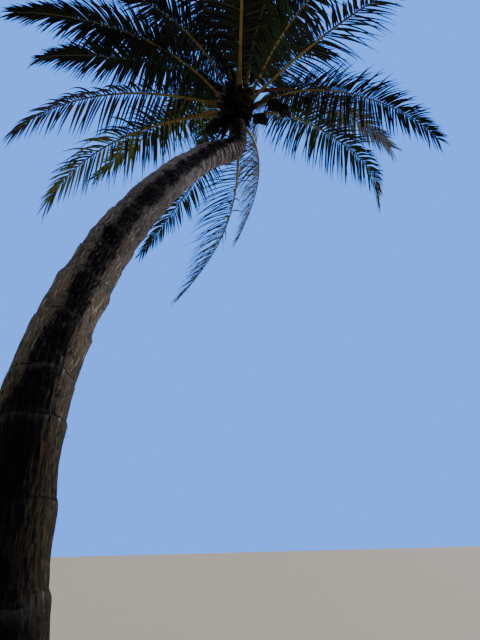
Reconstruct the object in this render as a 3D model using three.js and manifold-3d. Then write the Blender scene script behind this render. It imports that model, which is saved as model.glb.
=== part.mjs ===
// A leaning coconut palm, rooted in level ground.
// Millimetres, +Z up. The origin is the middle of the flat cut under the trunk,
// +Y is the way the trunk leans, +X is to its right.
import * as THREE from 'three';
import Module from 'manifold-3d';

const wasm = await Module();
wasm.setup();

const { Vector3 } = THREE;

// Clearance between pieces that touch, and the space kept round a leaflet.
const GAP = 0.3;
const LEAFLET_CLEARANCE = 1.5;

// Trunk: points on its leaning centreline, its taper, its flared foot and its neck.
const TRUNK_LINE = [
  [0, 0, 0],
  [-190, -60, 1200],
  [-270, 140, 2400],
  [-130, 680, 3700],
  [190, 1420, 5000],
  [565, 2290, 6200],
  [940, 2700, 6760],
  [990, 2780, 7300],
];
const TRUNK_HEIGHT = 7300;
const SHAFT_FOOT_RADIUS = 217;
const SHAFT_TOP_RADIUS = 165;
const FLARE_RADIUS = 125;
const FLARE_HEIGHT = 330;
const ROOT_LOBES = 7;
const ROOT_LOBE_DEPTH = 0.08;
const BUTTRESSES = 3;
const BUTTRESS_DEPTH = 0.032;
const NECK_LENGTH = 900;
const NECK_CUT = 45;
const TRUNK_SIDES = 16;
const TRUNK_EASE = 0.5;
const SCAR_RINGS = 23;
const SCAR_SWELL = 7;
const BELOW_GROUND = 150;

// Crown heart: the bulb of leaf bases on the trunk's tip, along the crown's axis.
const CROWN_AXIS = new Vector3(0.06, 0.03, 1).normalize();
const HEART_HEIGHT = 900;
const HEART_SIDES = 16;
const HEART_PROFILE = [
  [0, 118],
  [80, 150],
  [200, 205],
  [340, 235],
  [500, 215],
  [660, 165],
  [800, 110],
  [HEART_HEIGHT, 60],
];
const HEART_ROOM = 1.1;

// Fronds, each by the compass angle it leaves at (0 is +X, 90 is +Y), its rise
// above level at the heart, how far it droops and swings by its tip, its length,
// its seat up the heart, the roll of its blade, how far its leaflets lift from
// the blade and hang, and the length of its longest leaflet.
const FROND_COLUMNS = [
  'heading', 'rise', 'droop', 'swing', 'length', 'seat', 'roll', 'lift', 'hang', 'leaflet',
];
const FRONDS = [
  [173, 4, 72, 0, 3250, 240, 0, 0, 1.5, 850],
  [193, 7, 64, -4, 3250, 330, 0, -10, 2.2, 750],
  [166, 60, 112, 55, 3800, 520, 0, 5, 1.2, 800],
  [184, 60, 98, 26, 3950, 430, 0, 5, 1.2, 800],
  [188, 76, 78, 22, 3200, 560, 0, 10, 0.8, 800],
  [148, 81, 64, 4, 3200, 720, 0, 15, 0.5, 750],
  [226, 82, 72, -30, 3200, 640, 0, 15, 0.6, 750],
  [274, 44, 85, -10, 3200, 400, 0, 10, 0.8, 800],
  [268, 80, 66, -24, 3300, 590, 0, 10, 0.6, 800],
  [304, 76, 66, 20, 3200, 500, 0, 10, 0.7, 800],
  [328, 80, 60, 26, 3100, 680, 0, 15, 0.5, 750],
  [31, 79, 73, -2, 3150, 690, 0, 15, 0.5, 750],
  [328, 62, 38, 34, 3100, 430, 0, 10, 0.8, 750],
  [313, 5, 60, -30, 3000, 250, 0, 0, 1.2, 720],
  [22, 49, 114, -24, 4100, 380, 0, 5, 1.2, 800],
  [38, 54, 104, -24, 3850, 470, 0, 0, 1.4, 800],
  [40, 46, 146, -50, 3700, 270, 0, 0, 1.6, 800],
  [73, 34, 80, 58, 3700, 150, 65, 40, 0.8, 750],
  [90, 2, 44, 66, 4150, 60, 42, 38, 0.8, 900],
  [113, 14, 63, 43, 3650, 280, -40, 10, 1.8, 550],
  [142, 36, 80, 20, 3250, 410, 0, 0, 1.4, 700],
  [62, 80, 68, 0, 3100, 600, 0, 10, 0.8, 750],
  [108, 62, 82, 0, 3200, 540, 0, 10, 0.8, 750],
  [126, 66, 85, 0, 3200, 630, 0, 10, 0.8, 750],
];
const SPLIT_DROOP = 100;
const SPLIT_MARGIN = 0.01;
const DROOP_POWER = 1.4;
const ROLL_REACH = 0.45;

// Rachis, the frond's rib: its section narrows from a broad base to a whip.
const RACHIS_STEPS = 12;
const BASE_WIDTH = 100;
const STALK_WIDTH = 46;
const TIP_WIDTH = 9;
const BASE_SHARE = 0.1;
const TAPER_POWER = 0.8;
const RACHIS_DEPTH = 0.8;
const RACHIS_KEEL = 0.75;
const BASE_SUNK = 25;

// Leaflets: their spacing in each rank, where they start, their angles to the rib,
// their length along the blade as a share of the longest, and their section.
const LEAFLET_SPACING = 330;
const LEAFLET_START = 0.15;
const LEAFLET_ANGLE_BASE = 78;
const LEAFLET_ANGLE_TIP = 24;
const LEAFLET_ANGLE_POWER = 2;
const FIRST_LEAFLET = 0.42;
const FULL_FROM = 0.3;
const FADE_FROM = 0.45;
const FADE = 0.52;
const LEAFLET_WIDTH = 150;
const LEAFLET_NARROWEST = 0.6;
const LEAFLET_THICKNESS = 12;
const LEAFLET_SLIMNESS = 60;
const LEAFLET_ROOT_WIDTH = 0.75;
const LEAFLET_ROOT_DEPTH = 0.5;
const LEAFLET_BEND = 0.4;
const FACE_SHARE = 2 / 3;
const HANG_LENGTH = 1000;
const HANG_POWER = 1.1;
const DOWN = new Vector3(0, 0, -1);
const LEAFLET_TRIES = [
  { scale: 1, lift: 0 },
  { scale: 1, lift: -14 },
  { scale: 1, lift: 14 },
  { scale: 0.72, lift: 0 },
  { scale: 0.72, lift: 20 },
  { scale: 0.5, lift: 0 },
];

// Spear: the youngest leaf, still folded, standing on the heart.
const SPEAR_LENGTH = 2300;
const SPEAR_RADIUS = 40;
const SPEAR_SIDES = 7;
const SPEAR_STATIONS = [[0, 0.7], [0.12, 1], [0.5, 0.8], [0.85, 0.35], [1, 0]];

// Fruit: each bunch is an arched stalk with nuts round its lower half, and one bunch
// still has the pointed pod that it came out of.
const BUNCH_COLUMNS = ['name', 'heading', 'rise', 'droop', 'seat', 'length', 'nuts', 'pod'];
const BUNCHES = [
  ['fruit_bunch_right', 350, 22, 112, 330, 640, 8, true],
  ['fruit_bunch_left', 198, -6, 80, 30, 430, 7, false],
  ['fruit_bunch_back', 10, 26, 70, 190, 260, 5, false],
];
const STALK_RADIUS = 17;
const STALK_STEPS = 6;
const STALK_SIDES = 5;
const STALK_FOOT = 1.3;
const STALK_END = 0.6;
const NUT_RADIUS = 62;
const NUT_LENGTH = 1.22;
const NUT_SIDES = 6;
const NUT_ROWS = 4;
const NUT_TURN = 137.5;
const NUT_SUNK = 0.8;
const FIRST_NUT = 0.45;
const NUT_DROP = new Vector3(0, 0, -0.9);
const NUT_LEAN = 0.3;
const POD_LENGTH = 420;
const POD_RADIUS = 35;
const POD_SIDES = 5;
const POD_SEAT = 0.7;
const POD_LEAN = 0.45;
const POD_STATIONS = [[0, 0.25], [0.35, 1], [0.75, 0.55], [1, 0]];

// Dry bract: the empty sheath of an old bunch, standing out from the heart.
const BRACT = {
  heading: 2, rise: 14, droop: 24, swing: 0, length: 860, seat: 700, roll: 0, width: 78,
};
const BRACT_STEPS = 5;
const BRACT_CREST = 7;
const BRACT_KEEL = 3;
const BRACT_SPAN = [0.2, 0.95];

const FINISHES = {
  bark: { color: 0x6f6660, roughness: 0.92, metalness: 0 },
  fibre: { color: 0x6b4a2b, roughness: 0.95, metalness: 0 },
  leaf: { color: 0x2f4a23, roughness: 0.55, metalness: 0 },
  nut: { color: 0x4a5226, roughness: 0.5, metalness: 0 },
  bract: { color: 0x6e3320, roughness: 0.8, metalness: 0 },
};

const radians = THREE.MathUtils.degToRad;
const lerp = THREE.MathUtils.lerp;
const smooth = (x) => THREE.MathUtils.smoothstep(x, 0, 1);

/** A point at some distance from a start, by distances along given directions. */
function offset(start, ...steps) {
  const point = start.clone();
  for (const [direction, distance] of steps) {
    point.addScaledVector(direction, distance);
  }
  return point;
}

/** A closed solid through rings of points that run anticlockwise about its run. */
function loft(rings) {
  const points = rings.flat();
  const triangles = [];
  let first = 0;
  for (let i = 0; i + 1 < rings.length; i += 1) {
    const here = rings[i].length;
    const next = rings[i + 1].length;
    const start = first + here;
    for (let j = 0; j < here; j += 1) {
      const k = (j + 1) % here;
      if (next === 1) {
        triangles.push(first + j, first + k, start);
      } else {
        triangles.push(first + j, first + k, start + k);
        triangles.push(first + j, start + k, start + j);
      }
    }
    first = start;
  }
  for (let j = 1; j + 1 < rings[0].length; j += 1) {
    triangles.push(0, j + 1, j);
  }
  for (let j = 1; j + 1 < rings.at(-1).length; j += 1) {
    triangles.push(first, first + j, first + j + 1);
  }
  return solid(points, triangles);
}

/** A solid from points and triangles that share them. */
function solid(points, triangles) {
  const positions = points.flatMap((p) => [p.x, p.y, p.z]);
  return new wasm.Manifold(new wasm.Mesh({
    numProp: 3,
    vertProperties: Float32Array.from(positions),
    triVerts: Uint32Array.from(triangles),
  }));
}

/** A ring of points round a centre, at radius(angle), anticlockwise about a x b. */
function ring(centre, a, b, sides, radius) {
  return Array.from({ length: sides }, (_, i) => {
    const angle = (i / sides) * 2 * Math.PI;
    const r = radius(angle);
    return offset(centre, [a, r * Math.cos(angle)], [b, r * Math.sin(angle)]);
  });
}

/** A named mesh of a solid, with flat faces. */
function meshOf(name, body, finish) {
  const { vertProperties, triVerts } = body.getMesh();
  const geometry = new THREE.BufferGeometry();
  geometry.setAttribute('position', new THREE.BufferAttribute(Float32Array.from(vertProperties), 3));
  geometry.setIndex(new THREE.BufferAttribute(Uint32Array.from(triVerts), 1));
  geometry.computeVertexNormals();
  const mesh = new THREE.Mesh(geometry, new THREE.MeshStandardMaterial(FINISHES[finish]));
  mesh.name = name;
  return mesh;
}

/** Two directions across a run, the second a quarter turn on from the first. */
function across(run) {
  const a = new Vector3(1, 0, 0).addScaledVector(run, -run.x).normalize();
  return [a, run.clone().cross(a)];
}

/** The level direction at a compass angle. */
function compass(degrees) {
  return new Vector3(Math.cos(radians(degrees)), Math.sin(radians(degrees)), 0);
}

/** The trunk's mean radius at a height. */
function trunkRadius(height) {
  const z = Math.max(0, height);
  const shaft = lerp(SHAFT_FOOT_RADIUS, SHAFT_TOP_RADIUS, z / TRUNK_HEIGHT);
  const flare = FLARE_RADIUS * Math.exp(-z / FLARE_HEIGHT);
  const neck = NECK_CUT * smooth((z - TRUNK_HEIGHT + NECK_LENGTH) / NECK_LENGTH);
  return shaft + flare - neck;
}

/** The trunk: a tapering, leaning tube with ringed scars, cut flat at the ground. */
function trunkSolid() {
  const points = TRUNK_LINE.map((p) => new Vector3(...p));
  const line = new THREE.CatmullRomCurve3(points, false, 'catmullrom', TRUNK_EASE);
  const rings = [];
  const steps = 2 * SCAR_RINGS;
  for (let i = -1; i <= steps; i += 1) {
    const share = Math.max(0, i / steps);
    const run = i === steps ? CROWN_AXIS : line.getTangentAt(share);
    const centre = line.getPointAt(share);
    if (i < 0) {
      centre.addScaledVector(run, -BELOW_GROUND);
    }
    const swell = i % 2 === 0 ? -SCAR_SWELL / 2 : SCAR_SWELL / 2;
    const mean = trunkRadius(centre.z) + swell;
    const flare = Math.exp(-Math.max(0, centre.z) / FLARE_HEIGHT);
    const [a, b] = across(run);
    rings.push(ring(centre, a, b, TRUNK_SIDES, (angle) => {
      const lobe = ROOT_LOBE_DEPTH * Math.cos(ROOT_LOBES * angle);
      const buttress = BUTTRESS_DEPTH * Math.sin(BUTTRESSES * angle);
      return mean * (1 + flare * (lobe + buttress));
    }));
  }
  return loft(rings).trimByPlane([0, 0, 1], 0);
}

/** The heart's radius at a distance up the crown's axis. */
function heartRadius(height) {
  const last = HEART_PROFILE.length - 1;
  for (let i = 0; i < last; i += 1) {
    const [low, r0] = HEART_PROFILE[i];
    const [high, r1] = HEART_PROFILE[i + 1];
    if (height <= high) {
      return lerp(r0, r1, (height - low) / (high - low));
    }
  }
  return HEART_PROFILE[last][1];
}

/** The heart, or with room added round it, the space it takes from its neighbours. */
function heartSolid(room) {
  const [a, b] = across(CROWN_AXIS);
  const rings = HEART_PROFILE.map(([height, radius]) => {
    const end = { 0: -room, [HEART_HEIGHT]: room }[height] ?? 0;
    const centre = offset(HEART_FOOT, [CROWN_AXIS, height + end]);
    return ring(centre, a, b, HEART_SIDES, () => radius + HEART_ROOM * room);
  });
  return loft(rings);
}

const TRUNK_TIP = new Vector3(...TRUNK_LINE.at(-1));
const HEART_FOOT = offset(TRUNK_TIP, [CROWN_AXIS, GAP]);

/** The frame at a share of a frond's length: place, run, right side and upper side. */
function frondFrames(frond, steps) {
  const out = compass(frond.heading);
  const seatRadius = heartRadius(frond.seat) - BASE_SUNK;
  const place = offset(HEART_FOOT, [CROWN_AXIS, frond.seat], [out, seatRadius]);
  const frames = [];
  for (let i = 0; i <= steps; i += 1) {
    const s = i / steps;
    const run = frondRun(frond, s);
    const azimuth = radians(frond.heading + frond.swing * s * s);
    const level = new Vector3(Math.sin(azimuth), -Math.cos(azimuth), 0);
    const above = level.clone().cross(run);
    const roll = radians(frond.roll * smooth(s / ROLL_REACH));
    const side = offset(new Vector3(), [level, Math.cos(roll)], [above, Math.sin(roll)]);
    const up = offset(new Vector3(), [above, Math.cos(roll)], [level, -Math.sin(roll)]);
    frames.push({ s, place: place.clone(), run, side, up });
    place.addScaledVector(frondRun(frond, (i + 0.5) / steps), frond.length / steps);
  }
  return frames;
}

/** The direction that a frond runs in at a share of its length. */
function frondRun(frond, s) {
  const share = Math.min(s, 1);
  const elevation = radians(frond.rise - frond.droop * share ** DROOP_POWER);
  const azimuth = radians(frond.heading + frond.swing * share * share);
  return new Vector3(
    Math.cos(elevation) * Math.cos(azimuth),
    Math.cos(elevation) * Math.sin(azimuth),
    Math.sin(elevation),
  );
}

/** The frame between two neighbours in a list of frames. */
function frameAt(frames, s) {
  const at = s * (frames.length - 1);
  const i = Math.min(Math.floor(at), frames.length - 2);
  const mix = (key) => frames[i][key].clone().lerp(frames[i + 1][key], at - i);
  return { s, place: mix('place'), run: mix('run').normalize(), side: mix('side'), up: mix('up') };
}

/** The width of a frond's stalk at a share of its length, its broad base left out. */
function stalkWidth(s) {
  return lerp(STALK_WIDTH, TIP_WIDTH, s ** TAPER_POWER);
}

/** The width of a frond's rib at a share of its length. */
function rachisWidth(s) {
  return stalkWidth(s) + (BASE_WIDTH - STALK_WIDTH) * (1 - smooth(s / BASE_SHARE));
}

/** The depth of a frond's rib at a share of its length. */
function rachisDepth(s) {
  return RACHIS_DEPTH * stalkWidth(s);
}

/** The four corners of the rib's section: broad and flat above, narrower below. */
function rachisRing({ s, place, side, up }) {
  const half = rachisWidth(s) / 2;
  const above = rachisDepth(s) / 2;
  return [
    offset(place, [side, half], [up, above]),
    offset(place, [side, half * RACHIS_KEEL], [up, -above]),
    offset(place, [side, -half * RACHIS_KEEL], [up, -above]),
    offset(place, [side, -half], [up, above]),
  ];
}

/** A leaflet's length at a share of the blade, as part of the frond's longest. */
function leafletShare(w) {
  const opening = lerp(FIRST_LEAFLET, 1, smooth(w / FULL_FROM));
  const closing = 1 - FADE * smooth((w - FADE_FROM) / (1 - FADE_FROM));
  return opening * closing;
}

/** A leaflet's section: a flat triangle under the blade's upper side. */
function leafletSection(place, run, up, width, thickness) {
  const face = offset(up, [run, -up.dot(run)]).normalize();
  const edge = run.clone().cross(face);
  const above = FACE_SHARE * thickness;
  return [
    offset(place, [face, above]),
    offset(place, [edge, width / 2], [face, above - thickness]),
    offset(place, [edge, -width / 2], [face, above - thickness]),
  ];
}

/** One leaflet: a three-sided blade that leaves the rib, bends down and ends in a point. */
function leafletSolid(frond, frame, w, hand, change, room) {
  const angle = radians(lerp(LEAFLET_ANGLE_BASE, LEAFLET_ANGLE_TIP, w ** LEAFLET_ANGLE_POWER));
  const lift = radians(frond.lift + change.lift);
  const length = frond.leaflet * leafletShare(w) * change.scale;
  const start = offset(
    new Vector3(),
    [frame.run, Math.cos(angle)],
    [frame.side, hand * Math.sin(angle) * Math.cos(lift)],
    [frame.up, Math.sin(angle) * Math.sin(lift)],
  );
  const fall = (frond.hang * length) / HANG_LENGTH;
  const runAt = (share) => offset(start, [DOWN, fall * share ** HANG_POWER]).normalize();
  const section = (place, run, width, thickness) => (
    leafletSection(place, run, frame.up, width + 2 * room, thickness + 2 * room)
  );
  const inner = length * LEAFLET_BEND;
  const outer = length - inner + room;
  const bend = offset(frame.place, [runAt(LEAFLET_BEND / 2), inner]);
  const tip = offset(bend, [runAt((1 + LEAFLET_BEND) / 2), outer]);
  const rootWidth = LEAFLET_ROOT_WIDTH * rachisWidth(frame.s);
  const rootDepth = LEAFLET_ROOT_DEPTH * rachisDepth(frame.s);
  const width = LEAFLET_WIDTH * lerp(LEAFLET_NARROWEST, 1, leafletShare(w));
  const thickness = Math.max(LEAFLET_THICKNESS, length / LEAFLET_SLIMNESS);
  return loft([
    section(frame.place, start, rootWidth, rootDepth),
    section(bend, runAt(LEAFLET_BEND), width, thickness),
    [tip],
  ]);
}

/** Where each leaflet stands along the blade and the rib, and which rank it is in. */
function leafletPlaces(frond) {
  const places = [];
  const count = Math.round((frond.length * (1 - LEAFLET_START)) / LEAFLET_SPACING);
  for (let i = 0; i < count; i += 1) {
    const w = (i + 0.5) / count;
    for (const hand of [-1, 1]) {
      places.push({ w, s: lerp(LEAFLET_START, 1, w), hand });
    }
  }
  return places;
}

/** A frond's parts: the whole frond, or an inner and an outer part where it bends far. */
function frondParts(frond, number) {
  const name = `frond_${String(number).padStart(2, '0')}`;
  const frames = frondFrames(frond, RACHIS_STEPS);
  if (frond.droop < SPLIT_DROOP) {
    return [{ name, frond, frames, low: 0, high: 1 }];
  }
  const bend = (frond.rise / frond.droop) ** (1 / DROOP_POWER);
  return [
    { name: `${name}_inner`, frond, frames, low: 0, high: bend },
    { name: `${name}_outer`, frond, frames, low: bend + GAP / frond.length, high: 1 },
  ];
}

/** The rib of a frond's part. */
function rachisSolid({ frames, low, high }) {
  const inside = frames.filter(({ s }) => s > low + SPLIT_MARGIN && s < high - SPLIT_MARGIN);
  const ends = [low, high].map((s) => frameAt(frames, s));
  return loft([ends[0], ...inside, ends[1]].map(rachisRing));
}

/** A body turned about a run, through rings of given shares of its length and radius. */
function spindle(foot, run, length, radius, sides, stations) {
  const [a, b] = across(run);
  const rings = stations.map(([share, part]) => {
    const centre = offset(foot, [run, share * length]);
    return part === 0 ? [centre] : ring(centre, a, b, sides, () => radius * part);
  });
  return loft(rings);
}

/** The folded young leaf that stands on the heart. */
function spearSolid() {
  const foot = offset(HEART_FOOT, [CROWN_AXIS, HEART_HEIGHT + GAP]);
  return spindle(foot, CROWN_AXIS, SPEAR_LENGTH, SPEAR_RADIUS, SPEAR_SIDES, SPEAR_STATIONS);
}

/** A nut: a closed egg of few faces, hung by its upper end. */
function nutSolid(top, run) {
  const shape = new THREE.SphereGeometry(NUT_RADIUS, NUT_SIDES, NUT_ROWS);
  shape.scale(1, NUT_LENGTH, 1);
  shape.applyQuaternion(new THREE.Quaternion().setFromUnitVectors(new Vector3(0, -1, 0), run));
  const centre = offset(top, [run, NUT_RADIUS * NUT_LENGTH * NUT_SUNK]);
  shape.translate(centre.x, centre.y, centre.z);
  return sphereSolid(shape, NUT_SIDES, NUT_ROWS);
}

/** The solid of a sphere geometry, its seam and poles shared. */
function sphereSolid(geometry, around, down) {
  const position = geometry.getAttribute('position');
  const pick = (row, column) => (
    new Vector3().fromBufferAttribute(position, row * (around + 1) + (column % around))
  );
  const rings = Array.from({ length: down - 1 }, (_, row) => (
    Array.from({ length: around }, (_unused, column) => pick(row + 1, column)).reverse()
  ));
  const top = pick(0, 0);
  const bottom = pick(down, 0);
  const points = [top, ...rings.flat(), bottom];
  const triangles = [];
  const at = (row, column) => 1 + row * around + (column % around);
  for (let j = 0; j < around; j += 1) {
    triangles.push(0, at(0, j + 1), at(0, j));
    triangles.push(points.length - 1, at(down - 2, j), at(down - 2, j + 1));
    for (let row = 0; row + 1 < down - 1; row += 1) {
      triangles.push(at(row, j), at(row, j + 1), at(row + 1, j + 1));
      triangles.push(at(row, j), at(row + 1, j + 1), at(row + 1, j));
    }
  }
  return solid(points, triangles);
}

/** A bunch of nuts on an arched stalk, some with a pointed pod. */
function bunchSolid(bunch) {
  const frames = frondFrames({ ...bunch, swing: 0, roll: 0 }, STALK_STEPS);
  const rings = frames.map(({ s, place, side, up }) => (
    ring(place, up, side, STALK_SIDES, () => STALK_RADIUS * lerp(STALK_FOOT, STALK_END, s))
  ));
  let body = loft(rings);
  for (let i = 0; i < bunch.nuts; i += 1) {
    const share = lerp(FIRST_NUT, 1, i / (bunch.nuts - 1));
    const { place, run } = frameAt(frames, share);
    const turn = compass(i * NUT_TURN + bunch.heading);
    body = body.add(nutSolid(place, offset(NUT_DROP, [turn, 1], [run, NUT_LEAN]).normalize()));
  }
  if (bunch.pod) {
    const { place } = frameAt(frames, POD_SEAT);
    const run = offset(DOWN, [compass(bunch.heading), POD_LEAN]).normalize();
    body = body.add(spindle(place, run, POD_LENGTH, POD_RADIUS, POD_SIDES, POD_STATIONS));
  }
  return body;
}

/** The dry bract: a thin, arched, pointed blade. */
function bractSolid() {
  const frames = frondFrames(BRACT, BRACT_STEPS);
  const rings = frames.map(({ s, place, side, up }, i) => {
    if (i === BRACT_STEPS) {
      return [place];
    }
    const half = (BRACT.width / 2) * Math.sin(Math.PI * lerp(...BRACT_SPAN, s));
    return [
      offset(place, [up, BRACT_CREST]),
      offset(place, [side, half], [up, -BRACT_KEEL]),
      offset(place, [side, -half], [up, -BRACT_KEEL]),
    ];
  });
  return loft(rings);
}

/** Rows of a table as records, each value under its column's name. */
function records(columns, rows) {
  return rows.map((row) => Object.fromEntries(columns.map((column, i) => [column, row[i]])));
}

/** The palm's pieces: those on the heart are cut clear of it and of the trunk. */
function palmParts() {
  const trunk = trunkSolid();
  const room = heartSolid(GAP).add(trunk);
  const bunches = records(BUNCH_COLUMNS, BUNCHES).map((bunch) => (
    { name: bunch.name, finish: 'nut', body: bunchSolid(bunch).subtract(room) }
  ));
  const fronds = records(FROND_COLUMNS, FRONDS)
    .flatMap((frond, i) => frondParts(frond, i + 1))
    .map((part) => ({ ...part, finish: 'leaf', body: rachisSolid(part).subtract(room) }));
  const all = [
    { name: 'trunk', finish: 'bark', body: trunk },
    { name: 'crown_heart', finish: 'fibre', body: heartSolid(0) },
    { name: 'spear_leaf', finish: 'leaf', body: spearSolid() },
    { name: 'dry_bract', finish: 'bract', body: bractSolid().subtract(room) },
    ...bunches,
    ...fronds,
  ];
  for (const part of fronds) {
    addLeaflets(part, all);
  }
  return all;
}

/** Fuse leaflets to a frond's part, leaving out what would touch another piece. */
function addLeaflets(part, all) {
  const neighbours = all.filter((other) => other !== part);
  for (const { w, s, hand } of leafletPlaces(part.frond)) {
    if (s <= part.low || s >= part.high) {
      continue;
    }
    const frame = frameAt(part.frames, s);
    for (const change of LEAFLET_TRIES) {
      const space = leafletSolid(part.frond, frame, w, hand, change, LEAFLET_CLEARANCE);
      if (neighbours.every((other) => space.intersect(other.body).isEmpty())) {
        part.body = part.body.add(leafletSolid(part.frond, frame, w, hand, change, 0));
        break;
      }
    }
  }
}

/** The whole palm, one mesh for each piece. */
function coconutPalm() {
  const group = new THREE.Group();
  for (const { name, body, finish } of palmParts()) {
    group.add(meshOf(name, body, finish));
  }
  return group;
}

export default coconutPalm();
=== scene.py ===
"""A leaning coconut palm: its bark, crown and fruit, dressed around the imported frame.

Everything is in metres on the frame's own axes. The origin is the middle of the flat
cut under the trunk, +Z is up, and the trunk leans towards +Y. Angles are in degrees
where they are sizes, and a share is part of a length, from 0 at its foot to 1 at its tip.
"""
import logging
import math
from dataclasses import asdict, dataclass
from enum import Enum
from functools import cache
from typing import NamedTuple

import bpy
import numpy as np
from mathutils import Matrix, Vector


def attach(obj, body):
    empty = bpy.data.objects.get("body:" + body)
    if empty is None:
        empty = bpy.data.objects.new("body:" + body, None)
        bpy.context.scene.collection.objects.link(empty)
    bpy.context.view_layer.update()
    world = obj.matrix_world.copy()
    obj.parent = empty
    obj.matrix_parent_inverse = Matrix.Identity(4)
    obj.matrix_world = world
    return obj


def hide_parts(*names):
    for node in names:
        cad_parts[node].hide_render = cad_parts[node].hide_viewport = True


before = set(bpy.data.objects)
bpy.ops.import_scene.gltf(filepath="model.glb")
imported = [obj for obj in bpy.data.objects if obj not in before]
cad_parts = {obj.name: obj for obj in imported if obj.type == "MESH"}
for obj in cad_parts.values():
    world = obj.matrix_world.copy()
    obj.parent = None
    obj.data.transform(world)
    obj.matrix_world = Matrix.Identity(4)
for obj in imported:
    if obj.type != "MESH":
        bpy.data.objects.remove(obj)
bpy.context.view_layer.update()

LOG = logging.getLogger("palm")
BODY = "root"

Colour = tuple[float, float, float]
Span = tuple[float, float]
UP = np.array([0.0, 0.0, 1.0])
DOWN_AXIS = (0.0, 0.0, -1.0)
TURN = 2 * math.pi

# How far round each sheath, nut or leaflet of the spear stands from the one before it.
NEXT_LEAF = 137.5

# The kind of a point attribute that holds three numbers.
TRIPLE = "FLOAT_VECTOR"

# Trunk: the leaning centreline.
TRUNK_LINE = (
    (0.000, 0.000, 0.000),
    (-0.190, -0.060, 1.200),
    (-0.270, 0.140, 2.400),
    (-0.130, 0.680, 3.700),
    (0.190, 1.420, 5.000),
    (0.565, 2.290, 6.200),
    (0.940, 2.700, 6.760),
    (0.990, 2.780, 7.300),
)

# Crown heart: the bulb of leaf bases on the trunk's tip, with its radius at each height.
CROWN_AXIS = np.array([0.06, 0.03, 1.0]) / np.linalg.norm([0.06, 0.03, 1.0])
TIP_GAP = 0.0003
HEART_FOOT = np.array(TRUNK_LINE[-1]) + CROWN_AXIS * TIP_GAP
HEART_HEIGHT = 0.900
HEART_PROFILE = (
    (0.000, 0.118),
    (0.080, 0.150),
    (0.200, 0.205),
    (0.340, 0.235),
    (0.500, 0.215),
    (0.660, 0.165),
    (0.800, 0.110),
    (HEART_HEIGHT, 0.060),
)

# How a frond droops, how soon its blade rolls, and how its rib narrows.
DROOP_POWER = 1.4
ROLL_REACH = 0.45
RIB_SAMPLES = 241
RIB_FROM = 0.012
BASE_WIDTH = 0.100
STALK_WIDTH = 0.046
TIP_WIDTH = 0.009
BASE_SHARE = 0.1
TAPER_POWER = 0.8
RIB_DEPTH = 0.8
BASE_SUNK = 0.025

# Leaflets: where they start on the rib, their angles to it on a plain and on a combed
# frond, their lengths along it as shares of the longest, and how they hang.
LEAFLET_START = 0.11
LEAFLET_ANGLE_BASE = 78.0
LEAFLET_ANGLE_TIP = 24.0
LEAFLET_ANGLE_POWER = 2.0
COMBED_ANGLE_TIP = 15.0
COMBED_ANGLE_POWER = 1.6
FIRST_LEAFLET = 0.42
FULL_FROM = 0.30
FADE_FROM = 0.45
FADE = 0.52
HANG_POWER = 1.1


class Tone(Enum):
    """The leaf colours that are dealt out along the fronds: painted shade, painted light and a painted sheen
    on one green, and a brown.
    """

    # Painted shade: a green darkened nearly to black.
    DEEP = (0.008, 0.014, 0.006)
    # Painted shade: a darker green.
    FOREST = (0.020, 0.038, 0.010)
    # Painted light: the olive of a lit underside.
    OLIVE = (0.118, 0.146, 0.030)
    # Painted sunlight on the green.
    SUNLIT = (0.110, 0.185, 0.028)
    # Painted sheen: a pale blue-grey reflection on the leaflets.
    ASH = (0.250, 0.285, 0.350)
    BRONZE = (0.078, 0.060, 0.052)


class RibZone(Enum):
    """The stretches of a frond's rib, each with where it ends and its colour; the foot by the heart is
    darkened nearly to black as painted shade.
    """

    # Near black: painted shade where the rib clasps the heart.
    FOOT = (0.04, (0.008, 0.005, 0.003))
    BASE = (0.09, (0.095, 0.061, 0.015))
    SHANK = (0.20, (0.150, 0.104, 0.022))
    STALK = (0.52, (0.215, 0.160, 0.030))
    SLIM = (0.70, (0.125, 0.102, 0.025))
    WHIP = (1.00, (0.105, 0.096, 0.080))


def unit(vectors: np.ndarray) -> np.ndarray:
    """Vectors of the same directions and of length one."""
    return vectors / np.linalg.norm(vectors, axis=-1, keepdims=True)


def smooth(value: np.ndarray | float) -> np.ndarray:
    """A soft step from 0 to 1 as the value goes from 0 to 1."""
    share = np.clip(value, 0.0, 1.0)
    return share * share * (3 - 2 * share)


def lerp(low: np.ndarray | float, high: np.ndarray | float, share: np.ndarray | float) -> np.ndarray:
    """The value a share of the way from one to another."""
    return low + (high - low) * share


def turns(count: int) -> np.ndarray:
    """So many angles, evenly round a whole turn."""
    return np.arange(count) / count * TURN


def compass(degrees: np.ndarray | float) -> np.ndarray:
    """The level direction at a compass angle, where 0 is +X and 90 is +Y."""
    angle = np.radians(degrees)
    return np.stack([np.cos(angle), np.sin(angle), np.zeros_like(angle)], axis=-1)


def scaled(colour: Colour, amount: float) -> Colour:
    """A colour made lighter or darker."""
    return (colour[0] * amount, colour[1] * amount, colour[2] * amount)


def around(
    run: np.ndarray, angle: np.ndarray, wide: np.ndarray | float = 1.0, deep: np.ndarray | float = 1.0,
) -> np.ndarray:
    """Steps outwards from a run, at angles round it.

    Args:
        run: One unit direction, or a row for each ring of angles.
        angle: The angles, counted from the direction across the run nearest to +X.
        wide: How far each step goes in that direction.
        deep: How far it goes a quarter turn on from it.

    Returns:
        The steps, ring by ring where the run has rows.
    """
    first = unit(np.array([1.0, 0.0, 0.0]) - run * run[..., :1])
    second = np.cross(run, first)
    if run.ndim > 1:
        first, second = first[:, None], second[:, None]
    return (np.cos(angle) * wide)[..., None] * first + (np.sin(angle) * deep)[..., None] * second


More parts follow.
